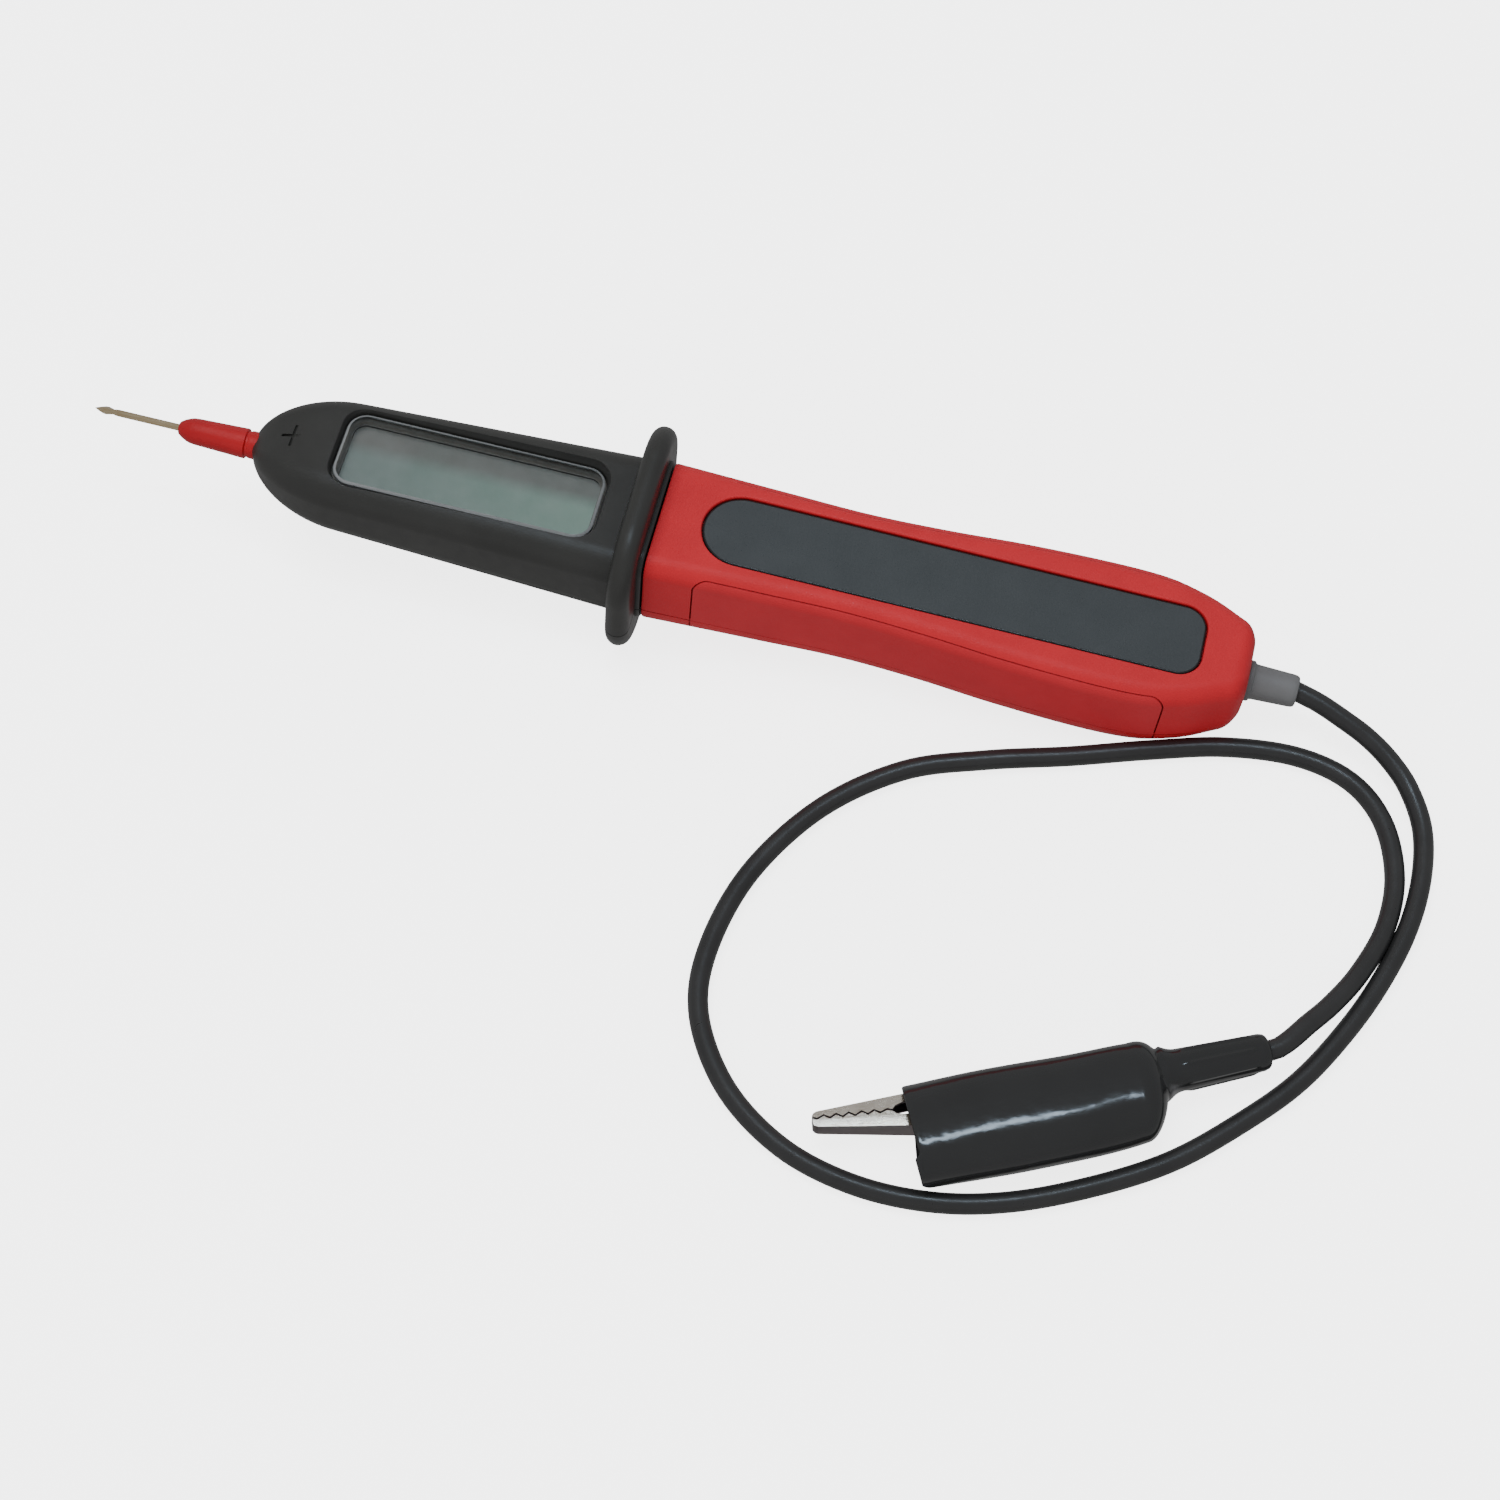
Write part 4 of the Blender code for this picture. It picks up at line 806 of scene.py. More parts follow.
def make_lead():
    points = smooth_route((lead_start(), *LEAD_ROUTE, lead_end()), LEAD_SPACING)
    points.insert(0, points[0] + (points[0] - points[1]).normalized() * LEAD_OVERLAP)
    points.append(points[-1] + (points[-1] - points[-2]).normalized() * LEAD_OVERLAP)
    for point in points:
        point.z = max(point.z, LEAD_RADIUS + 0.02)
    lead = tube("test_lead_sheath", points, LEAD_RADIUS, Matrix.Identity(4))
    return finish(lead, "lead_black", "test_lead")


# Probe

def needle_ring(radius, squareness):
    """Ring of (y, z): a circle at squareness 0, a diamond at 1."""
    ring = []
    for step in range(32):
        angle = 2 * pi * step / 32
        across, up = cos(angle), sin(angle)
        diamond = 1 / (abs(across) + abs(up))
        reach = radius * (1 - squareness + squareness * diamond)
        ring.append((reach * across, reach * up))
    return ring


def make_probe():
    stations = (
        (NEEDLE_TIP_X, 0.05, 1.0), (-107.1, 0.55, 1.0), (-106.2, 0.88, 1.0), (-105.6, 0.93, 1.0),
        (-104.9, 0.74, 0.9), (-104.4, 0.58, 0.5), (-104.0, 0.6, 0.0), (-103.4, 0.66, 0.0),
        (-62.9, 0.66, 0.0),
    )
    needle = loft("needle", [(x, needle_ring(radius, square)) for x, radius, square in stations], PROBE)
    finish(needle, "needle_plating", "probe_needle")
    profile = (
        (-91.3, 0.98), (-91.3, 1.1), (-91.15, 1.3), (-90.4, 1.8), (-89.5, 2.22), (-88.8, 2.44),
        (-87.8, 2.55), (-86.5, 2.6), (-81.0, 2.8), (-78.2, 2.92), (-77.98, 2.9), (-77.85, 2.75),
        (-77.75, 2.5), (-77.35, 2.5), (-77.25, 2.62), (-77.05, 2.66), (-76.8, 2.68), (-67.5, 2.66),
        (-67.5, 0.98),
    )
    finish(turned("sleeve", profile, PROBE), "sleeve_red", "probe_sleeve")


# Head

def guard_plate():
    """Hand guard with a fully rounded rim."""
    sections = []
    for step in range(17):
        angle = pi * (step / 16 - 0.5)
        inset = GUARD_HALF_THICKNESS * (1 - cos(angle))
        ring = rounded_section(
            GUARD_HALF_WIDTH - inset, GUARD_HALF_HEIGHT - inset, GUARD_HALF_HEIGHT - inset,
            GUARD_CORNER - inset, GUARD_CORNER - inset,
        )
        sections.append((GUARD_X + GUARD_HALF_THICKNESS * sin(angle), ring))
    return loft("guard", sections, TESTER)


def head_body():
    """Outside of the head: nose, guard, collar and the tongue that enters the handle."""
    nose_length = NOSE_START_X - NOSE_TIP_X
    stations = [NOSE_START_X - nose_length * sin(radians(angle)) for angle in range(85, -1, -4)]
    stations += [-50.0, -40.0, -30.0, -20.0, -10.0, 1.5]
    body = loft("head", [(x, rounded_section(*head_section(x))) for x in stations], TESTER)
    collar_steps = ((0.0, -0.2), (COLLAR_END_X - 0.3, -0.2), (COLLAR_END_X - 0.1, -0.1), (COLLAR_END_X, 0.05))
    collar_rings = [(x, rounded_section(*handle_section(HANDLE_START_X, inset))) for x, inset in collar_steps]
    tongue_ring = rounded_section(*handle_section(TONGUE_END_X, WALL + GAP, TOP_WALL + GAP))
    tongue = loft("tongue", [(1.5, tongue_ring), (TONGUE_END_X, tongue_ring)], TESTER)
    return join(body, guard_plate(), loft("collar", collar_rings, TESTER), tongue)


def head_cavity_ring(x):
    half_width, _, bottom, _, bottom_radius = head_section(x, WALL)
    ceiling = min(head_section(x)[1] - HEAD_TOP_WALL, HEAD_CEILING_Z)
    return rounded_section(half_width, ceiling, bottom, 1.2, bottom_radius)


def window_opening():
    """Opening with sloping sides and a rounded lip where it meets the head's top."""
    top_z = head_section(WINDOW_X)[1]
    slope = atan2(HEAD_REAR[1] - HEAD_FRONT[1], HEAD_END_X - NOSE_START_X)
    steps = [(HEAD_CEILING_Z - 0.5, 0.0), (HEAD_CEILING_Z + 0.1, 0.0)]
    steps += [(top_z - LIP + rise, 1.0 + out / WINDOW_SPREAD) for rise, out in lip_steps()]
    steps.append((top_z + 2.0, 1.0 + LIP / WINDOW_SPREAD))
    layers = []
    for z, share in steps:
        length, width, radius = [
            inner + (outer - inner) * share for inner, outer in zip(WINDOW_INNER, WINDOW_OUTER)
        ]
        layers.append((z - top_z, rounded_outline(-length / 2, length / 2, width / 2, radius, radius)))
    return stack("window_opening", layers, TESTER @ shift(WINDOW_X, 0.0, top_z) @ spin(-slope, "Y"))


def plus_mark():
    """Engraved plus sign ahead of the window: it marks the probe as the positive end."""
    top_z = head_section(PLUS_X)[1]
    place = TESTER @ shift(PLUS_X, 0.0, top_z) @ spin(-PLUS_SLOPE, "Y")
    outline = rounded_outline(-2.5, 2.5, 0.32, 0.3, 0.3)
    bars = []
    for number, angle in enumerate((0.0, pi / 2)):
        depth = -0.3 - 0.03 * number
        bars.append(plate(f"plus_{number}", outline, depth, 3.0 + depth, place @ spin(angle, "Z")))
    return join(*bars)


def upright_hole(x, y, low_z, high_z, radius):
    outline = [(x + px, y + py) for px, py in circle(radius)]
    return plate("upright_hole", outline, low_z, high_z, TESTER)


def halves(whole, low_name, high_name):
    """Split a shell at the parting plane, a thin gap apart."""
    made = []
    removed = (
        (low_name, PARTING_Z - PARTING_GAP / 2, REACH),
        (high_name, -REACH, PARTING_Z + PARTING_GAP / 2),
    )
    for name, low_z, high_z in removed:
        half = link(name, whole.data.copy(), whole.matrix_world.copy())
        keep_out = box("beyond", (-REACH, -REACH, low_z), (REACH, REACH, high_z), TESTER)
        made.append(cut(half, keep_out))
    bpy.data.objects.remove(whole)
    return made


def screw_seats(low, screws):
    """A lower half with the seats of its screws cut in."""
    seats = [
        upright_hole(x, y, -depth - 3.0, -depth + 2.2, SCREW_HEAD_RADIUS + 0.2) for x, y, depth in screws
    ]
    return cut(low, *seats)


def make_head():
    stations = (-66.5, -63.5, -60.0, -57.0, -44.0, -30.0, -16.0, -2.2)
    bay = loft("bay", [(x, head_cavity_ring(x)) for x in stations], TESTER)
    way_ring = rounded_section(*handle_section(TONGUE_END_X, WALL + 1.8, TOP_WALL + 1.8))
    way = loft("way", [(-3.5, way_ring), (15.0, way_ring)], TESTER)
    bore = rod("bore", -80.0, -66.0, 2.85, PROBE)
    whole = cut(head_body(), bay, way, window_opening(), bore, plus_mark())
    low, high = halves(whole, "head_lower_shell", "head_upper_shell")
    finish(screw_seats(low, HEAD_SCREWS), "head_black", "head_lower_housing")
    finish(high, "head_black", "head_upper_housing")


def display_outline(size, radius):
    return rounded_outline(WINDOW_X - size[0] / 2, WINDOW_X + size[0] / 2, size[1] / 2, radius, radius)


def make_window():
    """Clear window: a flange under the head's top and a step with a sloping rim in the opening."""
    flange = plate("clear_window", display_outline(LENS_SIZE, 1.5), *LENS_Z, TESTER)
    insets = (
        (LENS_Z[0] + 0.3, 0.0), (LENS_TOP_Z - 0.35, 0.0), (LENS_TOP_Z - 0.3, 0.04),
        (LENS_TOP_Z - 0.04, 0.5), (LENS_TOP_Z, 0.62),
    )
    length, width = LENS_STEP_SIZE
    layers = [
        (z, display_outline((length - 2 * inset, width - 2 * inset), 3.7 - inset)) for z, inset in insets
    ]
    window = join(flange, stack("lens_step", layers, TESTER))
    finish(window, "window_clear", "lcd_window")
    # Painted highlight: the sloping rim of the step is paled to stand in for the light line its edge catches.
    rim_z = (LENS_Z[1] + 0.2) * MM
    second_look(window, "window_rim_painted_highlight", lambda face: face.center.z > rim_z and abs(face.normal.z) < 0.9)


def make_display():
    make_window()
    glass = plate("display_glass", display_outline(LCD_SIZE, 1.5), *LCD_Z, TESTER, edge=0.15)
    finish(glass, "lcd_grey", "lcd_panel")
    bezel = plate("display_bezel", display_outline(LENS_SIZE, 4.0), *BEZEL_Z, TESTER)
    bezel = cut(bezel, plate("bezel_opening", display_outline(BEZEL_OPENING, 2.4), 3.0, 5.0, TESTER))
    # The bezel's side walls keep the inner black as painted shade, the dark line along its opening; its flat
    # faces get the grey brown mask.
    finish(bezel, "frame_black")
    second_look(bezel, "bezel_brown", lambda face: abs(face.normal.z) > 0.5)


# Handle

def grip_outline(margin, side, low_z=PARTING_Z):
    """Side view (x, z) of a grip; margin widens it to the front, the rear and the top."""
    drop = GRIP_DROP if side < 0 else FAR_GRIP_DROP
    low_x, high_x = GRIP_X[0] - margin, GRIP_X[1] + margin
    radius = GRIP_CORNER + margin
    outline = [(low_x, low_z), (high_x, low_z)]
    for x, start in ((high_x - radius, 0), (low_x + radius, 90)):
        outline += corner(x, handle_top(x) - drop + margin - radius, radius, start)
    return outline


def low_grip_outline(margin):
    """Side view of the groove that carries the grip's outline on over the lower cover."""
    low_x, high_x = GRIP_X[0] - margin, GRIP_X[1] + margin
    radius = GRIP_CORNER + margin
    outline = [(low_x, PARTING_Z + 1.0)]
    for x, start in ((low_x + radius, 180), (high_x - radius, 270)):
        outline += corner(x, radius - margin - smooth_value(x, HANDLE_DEPTHS) + GRIP_DROP, radius, start)
    return [*outline, (high_x, PARTING_Z + 1.0)]


def side_prism(name, outline, side):
    """Prism of a side view, standing out of one side of the handle."""
    place = shift(0.0, side * PRISM_Y, 0.0) @ spin(pi / 2, "X")
    return plate(name, outline, -PRISM_HALF_DEPTH, PRISM_HALF_DEPTH, TESTER @ place)


def handle_stations():
    stations = [HANDLE_START_X + 0.5]
    while stations[-1] < 104.0:
        stations.append(stations[-1] + 2.0)
    rear = HANDLE_END_X - stations[-1]
    return stations + [stations[-1] + rear * sin(radians(angle)) for angle in range(6, 91, 4)]


def handle_loft(name, inset=0.0, top_inset=None):
    """The handle, or what stays of it under an inset; its front edge is rounded over."""
    front = [(HANDLE_START_X, 0.35), (HANDLE_START_X + 0.12, 0.12)]
    stations = front + [(x, 0.0) for x in handle_stations()]
    return loft(
        name, [(x, rounded_section(*handle_section(x, inset + extra, top_inset))) for x, extra in stations],
        TESTER,
    )


def label_matrix():
    return TESTER @ shift(0.0, 0.0, HANDLE_TOP) @ spin(atan2(HANDLE_TOP_FALL, 1.0), "Y")


def label_outline(margin):
    return rounded_outline(
        LABEL_X[0] - margin, LABEL_X[1] + margin, LABEL_HALF_WIDTH + margin,
        LABEL_HALF_WIDTH + margin - 0.01, LABEL_REAR_RADIUS + margin,
    )


def label_recess():
    """Pocket of the label plate, with a rounded lip at the handle's top."""
    steps = [(-LABEL_RECESS - LABEL_THICKNESS - 0.1, LABEL_GAP)]
    steps += [(rise - LIP, LABEL_GAP + out) for rise, out in lip_steps()]
    steps.append((2.0, LABEL_GAP + LIP))
    return stack("label_recess", [(z, label_outline(margin)) for z, margin in steps], label_matrix())


def grip_core(name, side, depth):
    """What stays under a grip; under the far one it comes close to the handle's top."""
    return handle_loft(name, depth, depth if side < 0 else FAR_CORE_SHARE * (depth - FAR_CORE_DEPTH))


def grip_pocket(side):
    pocket = side_prism("pocket", grip_outline(GRIP_GROOVE, side, PARTING_Z - 1.0), side)
    return cut(pocket, grip_core("pocket_core", side, GRIP_THICKNESS + (GAP if side < 0 else FAR_POCKET_GAP)))


def low_groove(side):
    ring = side_prism("low_groove", low_grip_outline(GRIP_GROOVE), side)
    return cut(ring, side_prism("low_groove_inner", low_grip_outline(0.0), side),
               handle_loft("groove_core", GROOVE_DEPTH))


def make_handle():
    stations = [1.5, *[x for x in handle_stations() if 8 < x < 113.4], 113.5]
    sections = [(x, rounded_section(*handle_section(x, WALL, TOP_WALL))) for x in stations]
    hole = rod("relief_hole", 112.0, 118.0, RELIEF_NECK + 0.15, TESTER)
    whole = cut(handle_loft("handle"), loft("hollow", sections, TESTER), hole)
    low, high = halves(whole, "handle_lower_shell", "handle_upper_shell")
    high = cut(high, label_recess(), grip_pocket(-1), grip_pocket(1))
    table = box("table", (-REACH, -REACH, -REACH), (REACH, REACH, 0.0), Matrix.Identity(4))
    low = cut(low, table, low_groove(-1), low_groove(1))
    finish(screw_seats(low, HANDLE_SCREWS), "handle_red", "handle_lower_cover")
    finish(high, "handle_red", "handle_upper_cover")


def make_grips():
    for name, side in (("near", -1), ("far", 1)):
        grip = meet(handle_loft("grip_" + name), side_prism("outline", grip_outline(0.0, side), side))
        grip = cut(grip, grip_core("grip_core", side, GRIP_THICKNESS))
        finish(grip, "grip_red", "grip_inlay_" + name)


def make_label():
    top_z = -LABEL_RECESS + 0.1
    label = plate("label", label_outline(0.0), top_z - LABEL_THICKNESS, top_z, label_matrix(), edge=0.4)
    finish(label, "label_dark", "label_plate")
    # Painted shade: the rounded rim is darkened to stand in for the shade of the groove round the label.
    second_look(label, "label_rim_painted_shade", lambda face: abs(face.normal.z) <= 0.99)


def make_screws():
    """Countersunk cross-head screws under the head and the handle."""
    profile = (
        (0.0, 0.0), (0.0, 1.5), (0.08, 1.75), (0.25, 1.88), (0.45, 1.9), (1.3, 1.2), (1.3, 1.0),
        (11.4, 1.0), (11.5, 0.0),
    )
    for prefix, screws in (("head_screw", HEAD_SCREWS), ("handle_screw", HANDLE_SCREWS)):
        for number, (x, y, depth) in enumerate(screws, 1):
            place = TESTER @ shift(x, y, -depth + SCREW_SINK) @ spin(-pi / 2, "Y")
            screw = turned(f"{prefix}_{number}_fine", profile, place, 48)
            slots = [
                box("slot", (-1.0, -1.2, -0.22), (0.7, 1.2, 0.22), place @ spin(angle, "X"))
                for angle in (0.4, 0.4 + pi / 2)
            ]
            finish(cut(screw, *slots), "screw_steel", f"{prefix}_{number}")


def make_relief():
    profile = (
        (111.6, RELIEF_BORE), (111.6, 3.5), (113.2, 3.5), (113.2, RELIEF_NECK), (116.1, RELIEF_NECK),
        (116.1, 3.7), (116.25, 3.85), (116.9, 3.85), (117.1, 3.72), (117.3, 3.42), (117.7, 3.34),
        (124.6, 3.1), (125.2, 3.02), (125.55, 2.85), (LEAD_EXIT_X, 2.6), (LEAD_EXIT_X, RELIEF_BORE - 0.2),
        (125.0, RELIEF_BORE - 0.25),
    )
    finish(turned("relief", profile, TESTER), "relief_grey", "strain_relief")


# Clip

def oval_section(half_width, half_height, squareness, middle):
    """Ring of (y, z): an ellipse at squareness 2, nearer to a rectangle above that."""
    ring = []
    for step in range(96):
        angle = 2 * pi * (step + 0.5) / 96
        across, up = cos(angle), sin(angle)
        y = half_width * abs(across) ** (2 / squareness) * (1 if across > 0 else -1)
        z = half_height * abs(up) ** (2 / squareness) * (1 if up > 0 else -1)
        ring.append((middle + y, z))
    return ring


def boot_ring(x, inset=0.0):
    """Section of the boot: tapered body, rounded over behind, then the conical tail."""
    share = 1.0
    if x > BOOT_ROUND_X:
        share = sqrt(max(1 - ((x - BOOT_ROUND_X) / BOOT_ROUND_LENGTH) ** 2, 0.0))
    web = min(max(1 - (x - TAIL_START_X + 0.4) / 2.6, 0.0), 1.0) ** 2
    tail = smooth_value(x, TAIL_RADII) - 0.15
    half_width = max(smooth_value(x, BOOT_WIDTHS) * share, tail + web) - inset
    half_height = max(BOOT_HALF_HEIGHT * share, tail + 0.3 * web) - inset
    squareness = 2.0 + BOOT_SQUARENESS * share
    return oval_section(half_width, half_height, squareness, smooth_value(x, BOOT_MIDDLES))


def rib_swell(x):
    """Height of the tail's ribs at x, fading out at both of their ends."""
    fade = min((x - TAIL_START_X - 2.6) / 1.2, (TAIL_END_X - 2.4 - x) / 1.2, 1.0)
    return 0.32 * max(fade, 0.0)


def soften_boot(boot):
    """Raise the tail's ribs, slant the mouth, bring its near flap forward and let the vinyl sag."""
    for vertex in boot.data.vertices:
        x, y, z = vertex.co / MM
        middle = smooth_value(x, BOOT_MIDDLES)
        if TAIL_START_X < x < TAIL_END_X and sqrt((y - middle) ** 2 + z**2) > 2.6:
            angle = atan2(z, y - middle)
            swell = rib_swell(x) * max(0.0, cos(RIB_COUNT / 2 * (angle - RIB_ANGLE))) ** 4
            y += swell * cos(angle)
            z += swell * sin(angle)
        elif x < BOOT_ROUND_X:
            fade = (1 - x / BOOT_ROUND_X) ** 4
            lean = MOUTH_LEAN * z / BOOT_HALF_HEIGHT
            near = min(max((FLAP_EDGE - y) / 0.8, 0.0), 1.0)
            far = min(max(-z / 2.0 - 0.2, 0.0), 1.0)
            flap = FLAP_REACH * near * near * (3 - 2 * near) * (1 - far)
            x -= (lean + flap) * fade
            crest = VINYL_WAVE * sin(0.2 * x - 0.9) * (1 - (x / BOOT_ROUND_X) ** 4)
            crest += CREST_LEAN * (1.5 * x / BOOT_ROUND_X - 0.5) * (1 - (x / BOOT_ROUND_X) ** 12)
            y += crest * max(z, 0.0) / BOOT_HALF_HEIGHT
        vertex.co = Vector((x, y, z)) * MM


def make_boot():
    stations = [0.0, 0.12, 0.4, 1.0] + [2.0 + step for step in range(37)] + [BOOT_ROUND_X - 0.4]
    stations += [BOOT_ROUND_X + BOOT_ROUND_LENGTH * sin(radians(angle)) for angle in range(0, 80, 5)]
    stations += [TAIL_START_X - 0.4 + 0.4 * step for step in range(45)]
    stations += [TAIL_END_X - 0.6, TAIL_END_X - 0.25, TAIL_END_X - 0.06, TAIL_END_X]
    rim_inset = {
        0.0: 0.3, 0.12: 0.12, 0.4: 0.02, TAIL_END_X: 1.3, TAIL_END_X - 0.06: 0.9, TAIL_END_X - 0.25: 0.5,
        TAIL_END_X - 0.6: 0.2,
    }
    sections = [(x, boot_ring(x, rim_inset.get(x, 0.0))) for x in sorted(set(stations))]
    boot = loft("boot", sections, BOOT)
    inner = [-1.0] + [1.0 + 2.0 * step for step in range(19)] + [BOOT_ROUND_X, 41.6, 43.0]
    hollow = loft("boot_hollow", [(x, boot_ring(x, BOOT_WALL)) for x in inner], BOOT)
    boot = cut(boot, hollow, rod("tail_bore", 39.0, 66.0, 2.0, BOOT @ shift(0.0, TAIL_OFFSET, 0.0)))
    soften_boot(boot)
    return finish(boot, "boot_vinyl", "clip_boot")


def toothed_edge(clearance):
    """Zigzag mating line from the jaws' tip to the last tooth; the teeth are tallest halfway."""
    points = []
    for tooth in range(TOOTH_COUNT):
        x = -JAW_LENGTH + 0.9 + tooth * TOOTH_PITCH
        half_height = TOOTH_HEIGHT / 2 * (0.75 + 0.25 * sin(pi * (tooth + 0.5) / TOOTH_COUNT))
        points.append((x, JAW_LINE + clearance - half_height))
        points.append((x + TOOTH_PITCH / 2, JAW_LINE + clearance + half_height))
    return points


def jaw_plate(name, outline, half_thickness=JAW_HALF_THICKNESS):
    return plate(name, outline, -half_thickness, half_thickness, JAWS)


def taper_tip(piece):
    """Thin the jaw towards its tip."""
    for vertex in piece.data.vertices:
        ahead = -vertex.co.x / MM - TAPER_START
        if ahead > 0:
            vertex.co.z *= 1 - TAPER * ahead / (JAW_LENGTH - TAPER_START)


def finish_jaw(jaw, body, node):
    """Drill a jaw, thin its tip, round its sheet edges and darken its sides and insides as painted shade."""
    jaw = cut(jaw, jaw_plate("pin_hole", circle(PIN_RADIUS + 0.05), 4.0))
    taper_tip(jaw)
    rims = jaw.modifiers.new("sheet edges", "BEVEL")
    rims.width = 0.16 * MM
    rims.segments = 3
    rims.limit_method = "ANGLE"
    rims.angle_limit = radians(40)
    finish(jaw, "jaw_nickel", node, body=body, sharp_angle=JAW_SHARP_ANGLE)
    # Painted shade: the side walls and the faces inside the channel get a darker nickel.
    second_look(
        jaw, "jaw_painted_shade", lambda face: abs(face.normal.z) <= 0.3 or face.normal.z * face.center.z <= 0,
    )
    return jaw


def make_fixed_jaw():
    edge = JAW_LINE + JAW_MEETING
    notch = [(-8.6, edge), (-8.1, edge + 0.6), (-7.0, edge + 1.05), (-5.4, edge + 1.3), (-4.0, edge + 1.2)]
    outline = (
        [(-JAW_LENGTH, edge)] + toothed_edge(JAW_MEETING) + notch
        + arc(2.0, 200, 340) + [(4.0, 1.2), (27.0, 1.2), (27.0, 4.0), (8.0, 4.2), (0.0, 4.2)]
        + [(-JAW_LENGTH + 0.9, 1.58), (-JAW_LENGTH + 0.3, 1.3), (-JAW_LENGTH, 0.9)]
    )
    jaw = jaw_plate("fixed_jaw", outline)
    tip_inside = -JAW_LENGTH + 0.8
    hollow = (
        (tip_inside, -3.0), (28.0, -3.0), (28.0, 3.5), (8.0, 3.7), (0.0, 3.7), (tip_inside, 1.0),
    )
    jaw = cut(jaw, jaw_plate("fixed_hollow", hollow, JAW_HALF_THICKNESS - JAW_SHEET))
    return finish_jaw(jaw, "tester", "clip_fixed_jaw")


def make_moving_jaw():
    slim = JAW_HALF_THICKNESS - JAW_SHEET - GAP
    edge = JAW_LINE - JAW_MEETING
    notch = [(-8.6, edge), (-8.0, edge - 0.5), (-6.8, edge - 0.75), (-4.9, edge - 0.8)]
    outline = (
        [(-JAW_LENGTH, edge)] + toothed_edge(-JAW_MEETING) + notch
        + [(-4.9, -2.75), (-JAW_LENGTH + 0.9, -1.34), (-JAW_LENGTH + 0.3, -1.05), (-JAW_LENGTH, -0.6)]
    )
    jaw = jaw_plate("moving_jaw", outline)
    start, end = Vector((-JAW_LENGTH + 0.4, -1.3, 0.0)), Vector((-4.9, -2.75, 0.0))
    along = (end - start).normalized()
    inward = Vector((-along.y, along.x, 0.0))
    edge_corner = start + JAW_BEND * inward + Vector((0.0, 0.0, JAW_HALF_THICKNESS))
    bend_place = JAWS @ shift(*edge_corner) @ spin(atan2(along.y, along.x), "Z") @ spin(JAW_BEND_SLOPE, "X")
    jaw = cut(jaw, box("bend", (-3.0, -4.0, 0.0), (21.0, 0.0, 2.0), bend_place))
    rear = (
        [(-7.0, -2.15), (-7.0, -0.5), (-4.4, -0.15)] + list(reversed(arc(1.7, 20, 160)))
        + [(3.0, -0.7), (22.0, -5.0), (22.0, -5.95), (4.0, -3.1), (0.0, -2.6)]
    )
    jaw = join(jaw, jaw_plate("moving_rear", rear, slim))
    tip_inside = -JAW_LENGTH + 0.8
    hollow = (
        (tip_inside, -0.62), (tip_inside, 3.0), (24.0, 3.0), (24.0, -5.77), (4.0, -2.6), (0.0, -2.1),
    )
    jaw = cut(jaw, jaw_plate("moving_hollow", hollow, slim - JAW_SHEET))
    return finish_jaw(jaw, "moving_jaw", "clip_moving_jaw")


def make_pin():
    profile = (
        (-3.3, 0.0), (-3.3, 1.2), (-3.15, 1.55), (-2.95, 1.7), (-2.7, 1.7), (-2.7, PIN_RADIUS),
        (2.7, PIN_RADIUS), (2.7, 1.7), (2.95, 1.7), (3.15, 1.55), (3.3, 1.2), (3.3, 0.0),
    )
    return finish(turned("pivot_pin", profile, JAWS @ spin(-pi / 2, "Y"), 48), "jaw_nickel", "clip_pivot_pin")


def make_spring():
    """Torsion spring round the pin; one arm lies along the fixed half and one along the moving half."""
    rise = 2.1 * SPRING_WIRE * SPRING_TURNS
    start_angle = radians(115)
    sweep = 2 * pi * SPRING_TURNS + radians(130)
    steps = 28 * SPRING_TURNS + 10
    coil = []
    for step in range(steps + 1):
        angle = start_angle + sweep * step / steps
        coil.append((SPRING_RADIUS * cos(angle), SPRING_RADIUS * sin(angle), rise * (step / steps - 0.5)))
    fixed_arm = [(9.0, 2.7, coil[0][2]), (1.2, 1.5, coil[0][2])]
    moving_arm = [(1.4, -1.6, coil[-1][2]), (8.0, -2.6, coil[-1][2])]
    spring = frozen(tube("torsion_spring", fixed_arm + coil[1:-1] + moving_arm, SPRING_WIRE, JAWS))
    spring.data.materials.append(MATERIALS["spring_steel"])
    shade(spring)
    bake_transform(spring)
    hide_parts("clip_spring")
    return spring


# Everything that stays a CAD node gets its material by its record slot.

def dress_cad_nodes():
    for entry in frame["record"]["subparts"]:
        node = frame["nodes"][entry["node"]]
        node.data.materials.clear()
        node.data.materials.append(MATERIALS[entry["material_slot"]])


# Floor and light

WHITE = (1.0, 1.0, 1.0)
WORLD_STRENGTH = 0.42
FLOOR_HALF_SIZE = 3.0        # metres
FLOOR_GLOW = 3.6


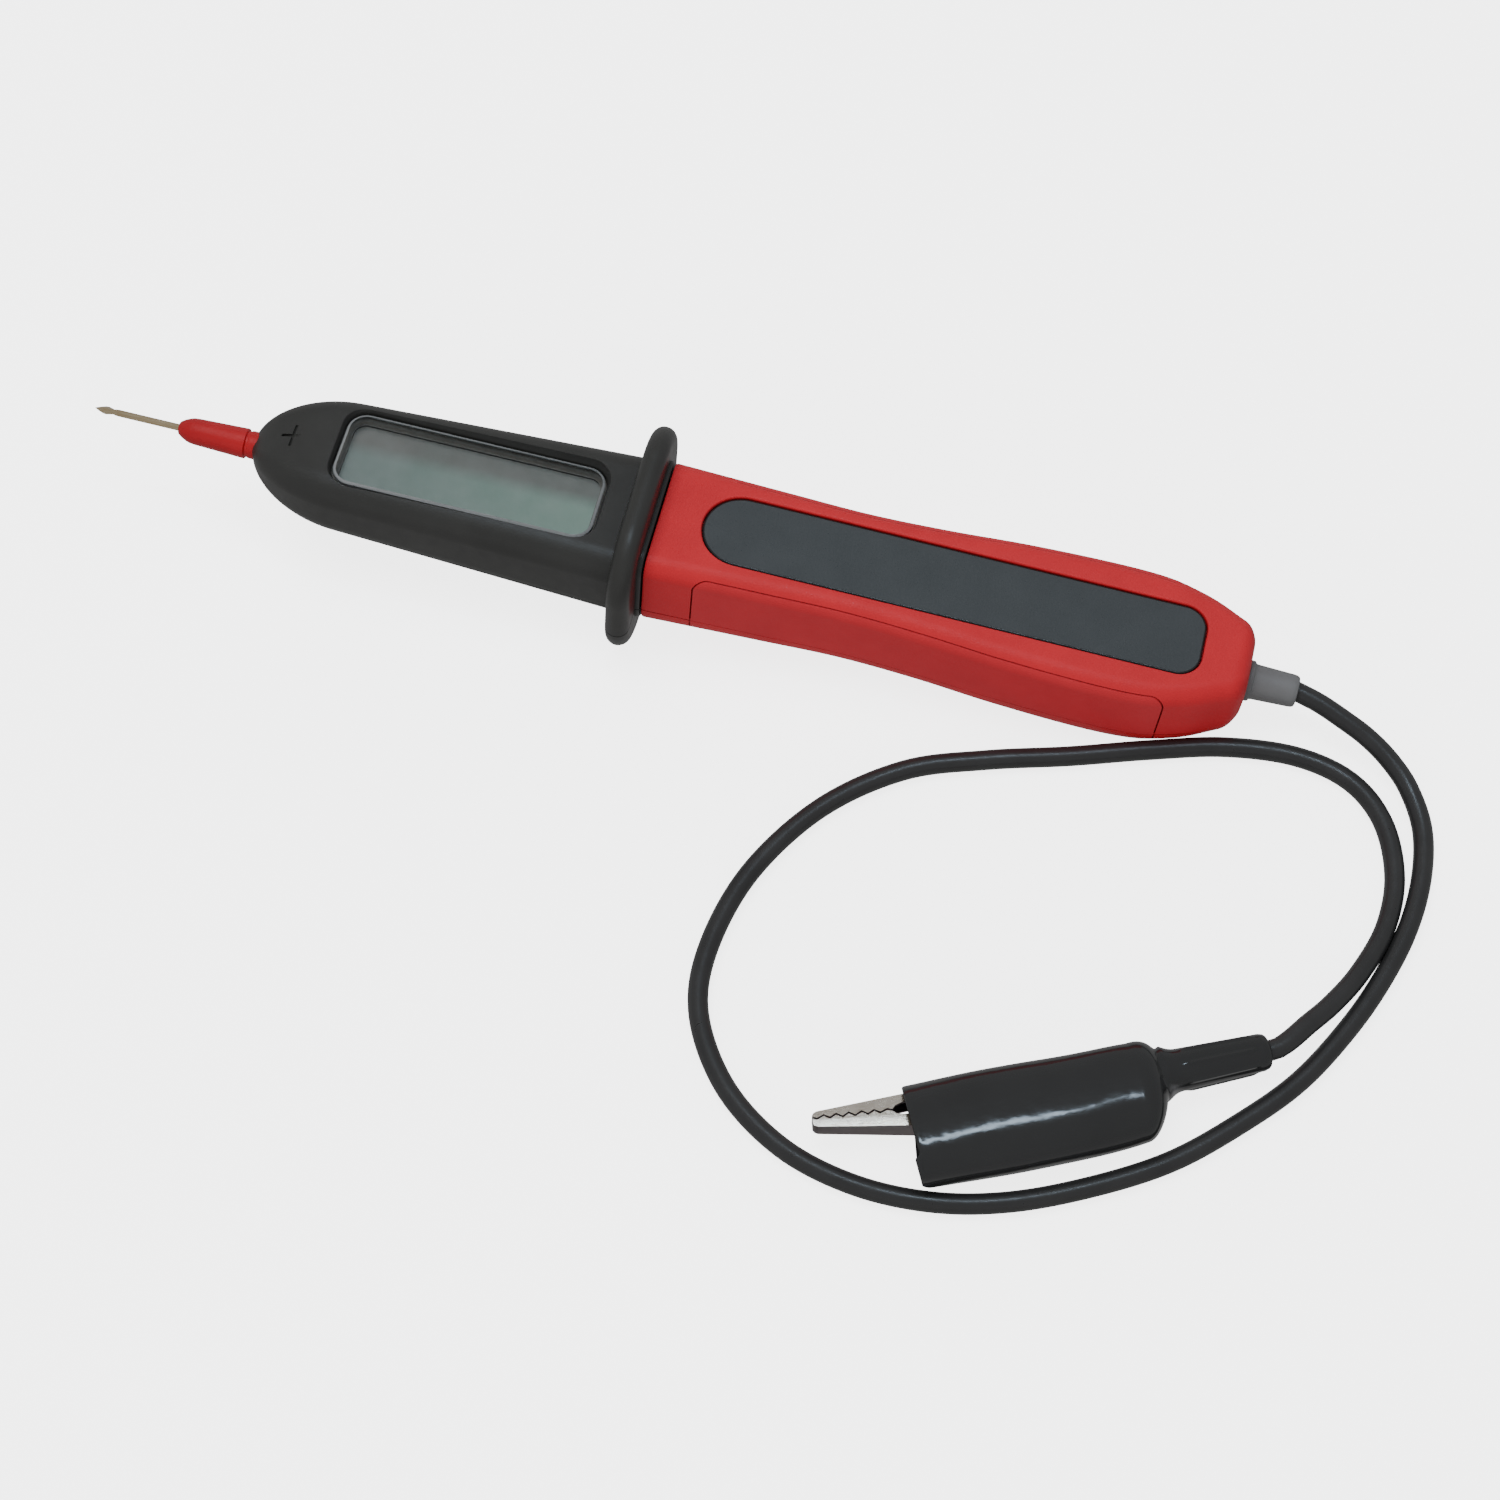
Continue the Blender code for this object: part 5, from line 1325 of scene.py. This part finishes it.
def make_floor():
    """Pale sweep. It lights only itself, so that the black pieces do not mirror it."""
    made, tree, surface = new_tree("pale floor")
    set_inputs(tree, surface, {
        "Base Color": (0.86, 0.86, 0.86), "Roughness": 0.9, "Emission Color": WHITE,
        "Emission Strength": FLOOR_GLOW,
    })
    mesh = bmesh.new()
    bmesh.ops.create_grid(mesh, x_segments=1, y_segments=1, size=FLOOR_HALF_SIZE)
    floor = link_mesh("floor", mesh)
    floor.data.materials.append(made)
    floor.visible_diffuse = False
    floor.visible_glossy = False


def area_light(name, location, target, size, energy, colour=WHITE):
    data = bpy.data.lights.new(name, "AREA")
    data.shape = "RECTANGLE"
    data.size, data.size_y = size
    data.energy = energy
    data.color = colour
    light = link(name, data)
    light.location = location
    light.rotation_euler = (Vector(location) - Vector(target)).to_track_quat("Z", "Y").to_euler()
    return light


def make_world():
    """Even white from all round."""
    world = bpy.data.worlds.new("studio")
    world.use_nodes = True
    tree = world.node_tree
    set_inputs(tree, tree.nodes["Background"], {"Color": WHITE, "Strength": WORLD_STRENGTH})
    bpy.context.scene.world = world


def make_light():
    """A soft key overhead, fills from the near and the far side, and a window that highlights show."""
    make_world()
    for name, location, size, energy, colour in (
        ("overhead", (-0.35, 0.05, 1.3), (0.9, 0.7), 12.5, (1.0, 0.99, 0.97)),
        ("near_fill", (0.1, -1.1, 0.35), (1.6, 0.6), 7.0, WHITE),
        ("far_fill", (0.0, 1.1, 0.45), (1.6, 0.3), 3.2, WHITE),
    ):
        area_light(name, location, (0.0, 0.0, 0.0), size, energy, colour).visible_glossy = False
    area_light("window", (0.10, 0.07, 1.2), (0.09, -0.09, 0.0), (0.34, 0.12), 2.6, (0.66, 0.83, 1.0))


def main():
    make_camera()
    lead = make_lead()
    dress_cad_nodes()
    make_probe()
    make_head()
    make_display()
    make_handle()
    make_grips()
    make_label()
    make_screws()
    make_relief()
    on_lead = [make_boot(), make_fixed_jaw(), make_moving_jaw(), make_pin(), make_spring()]
    make_floor()
    make_light()


main()
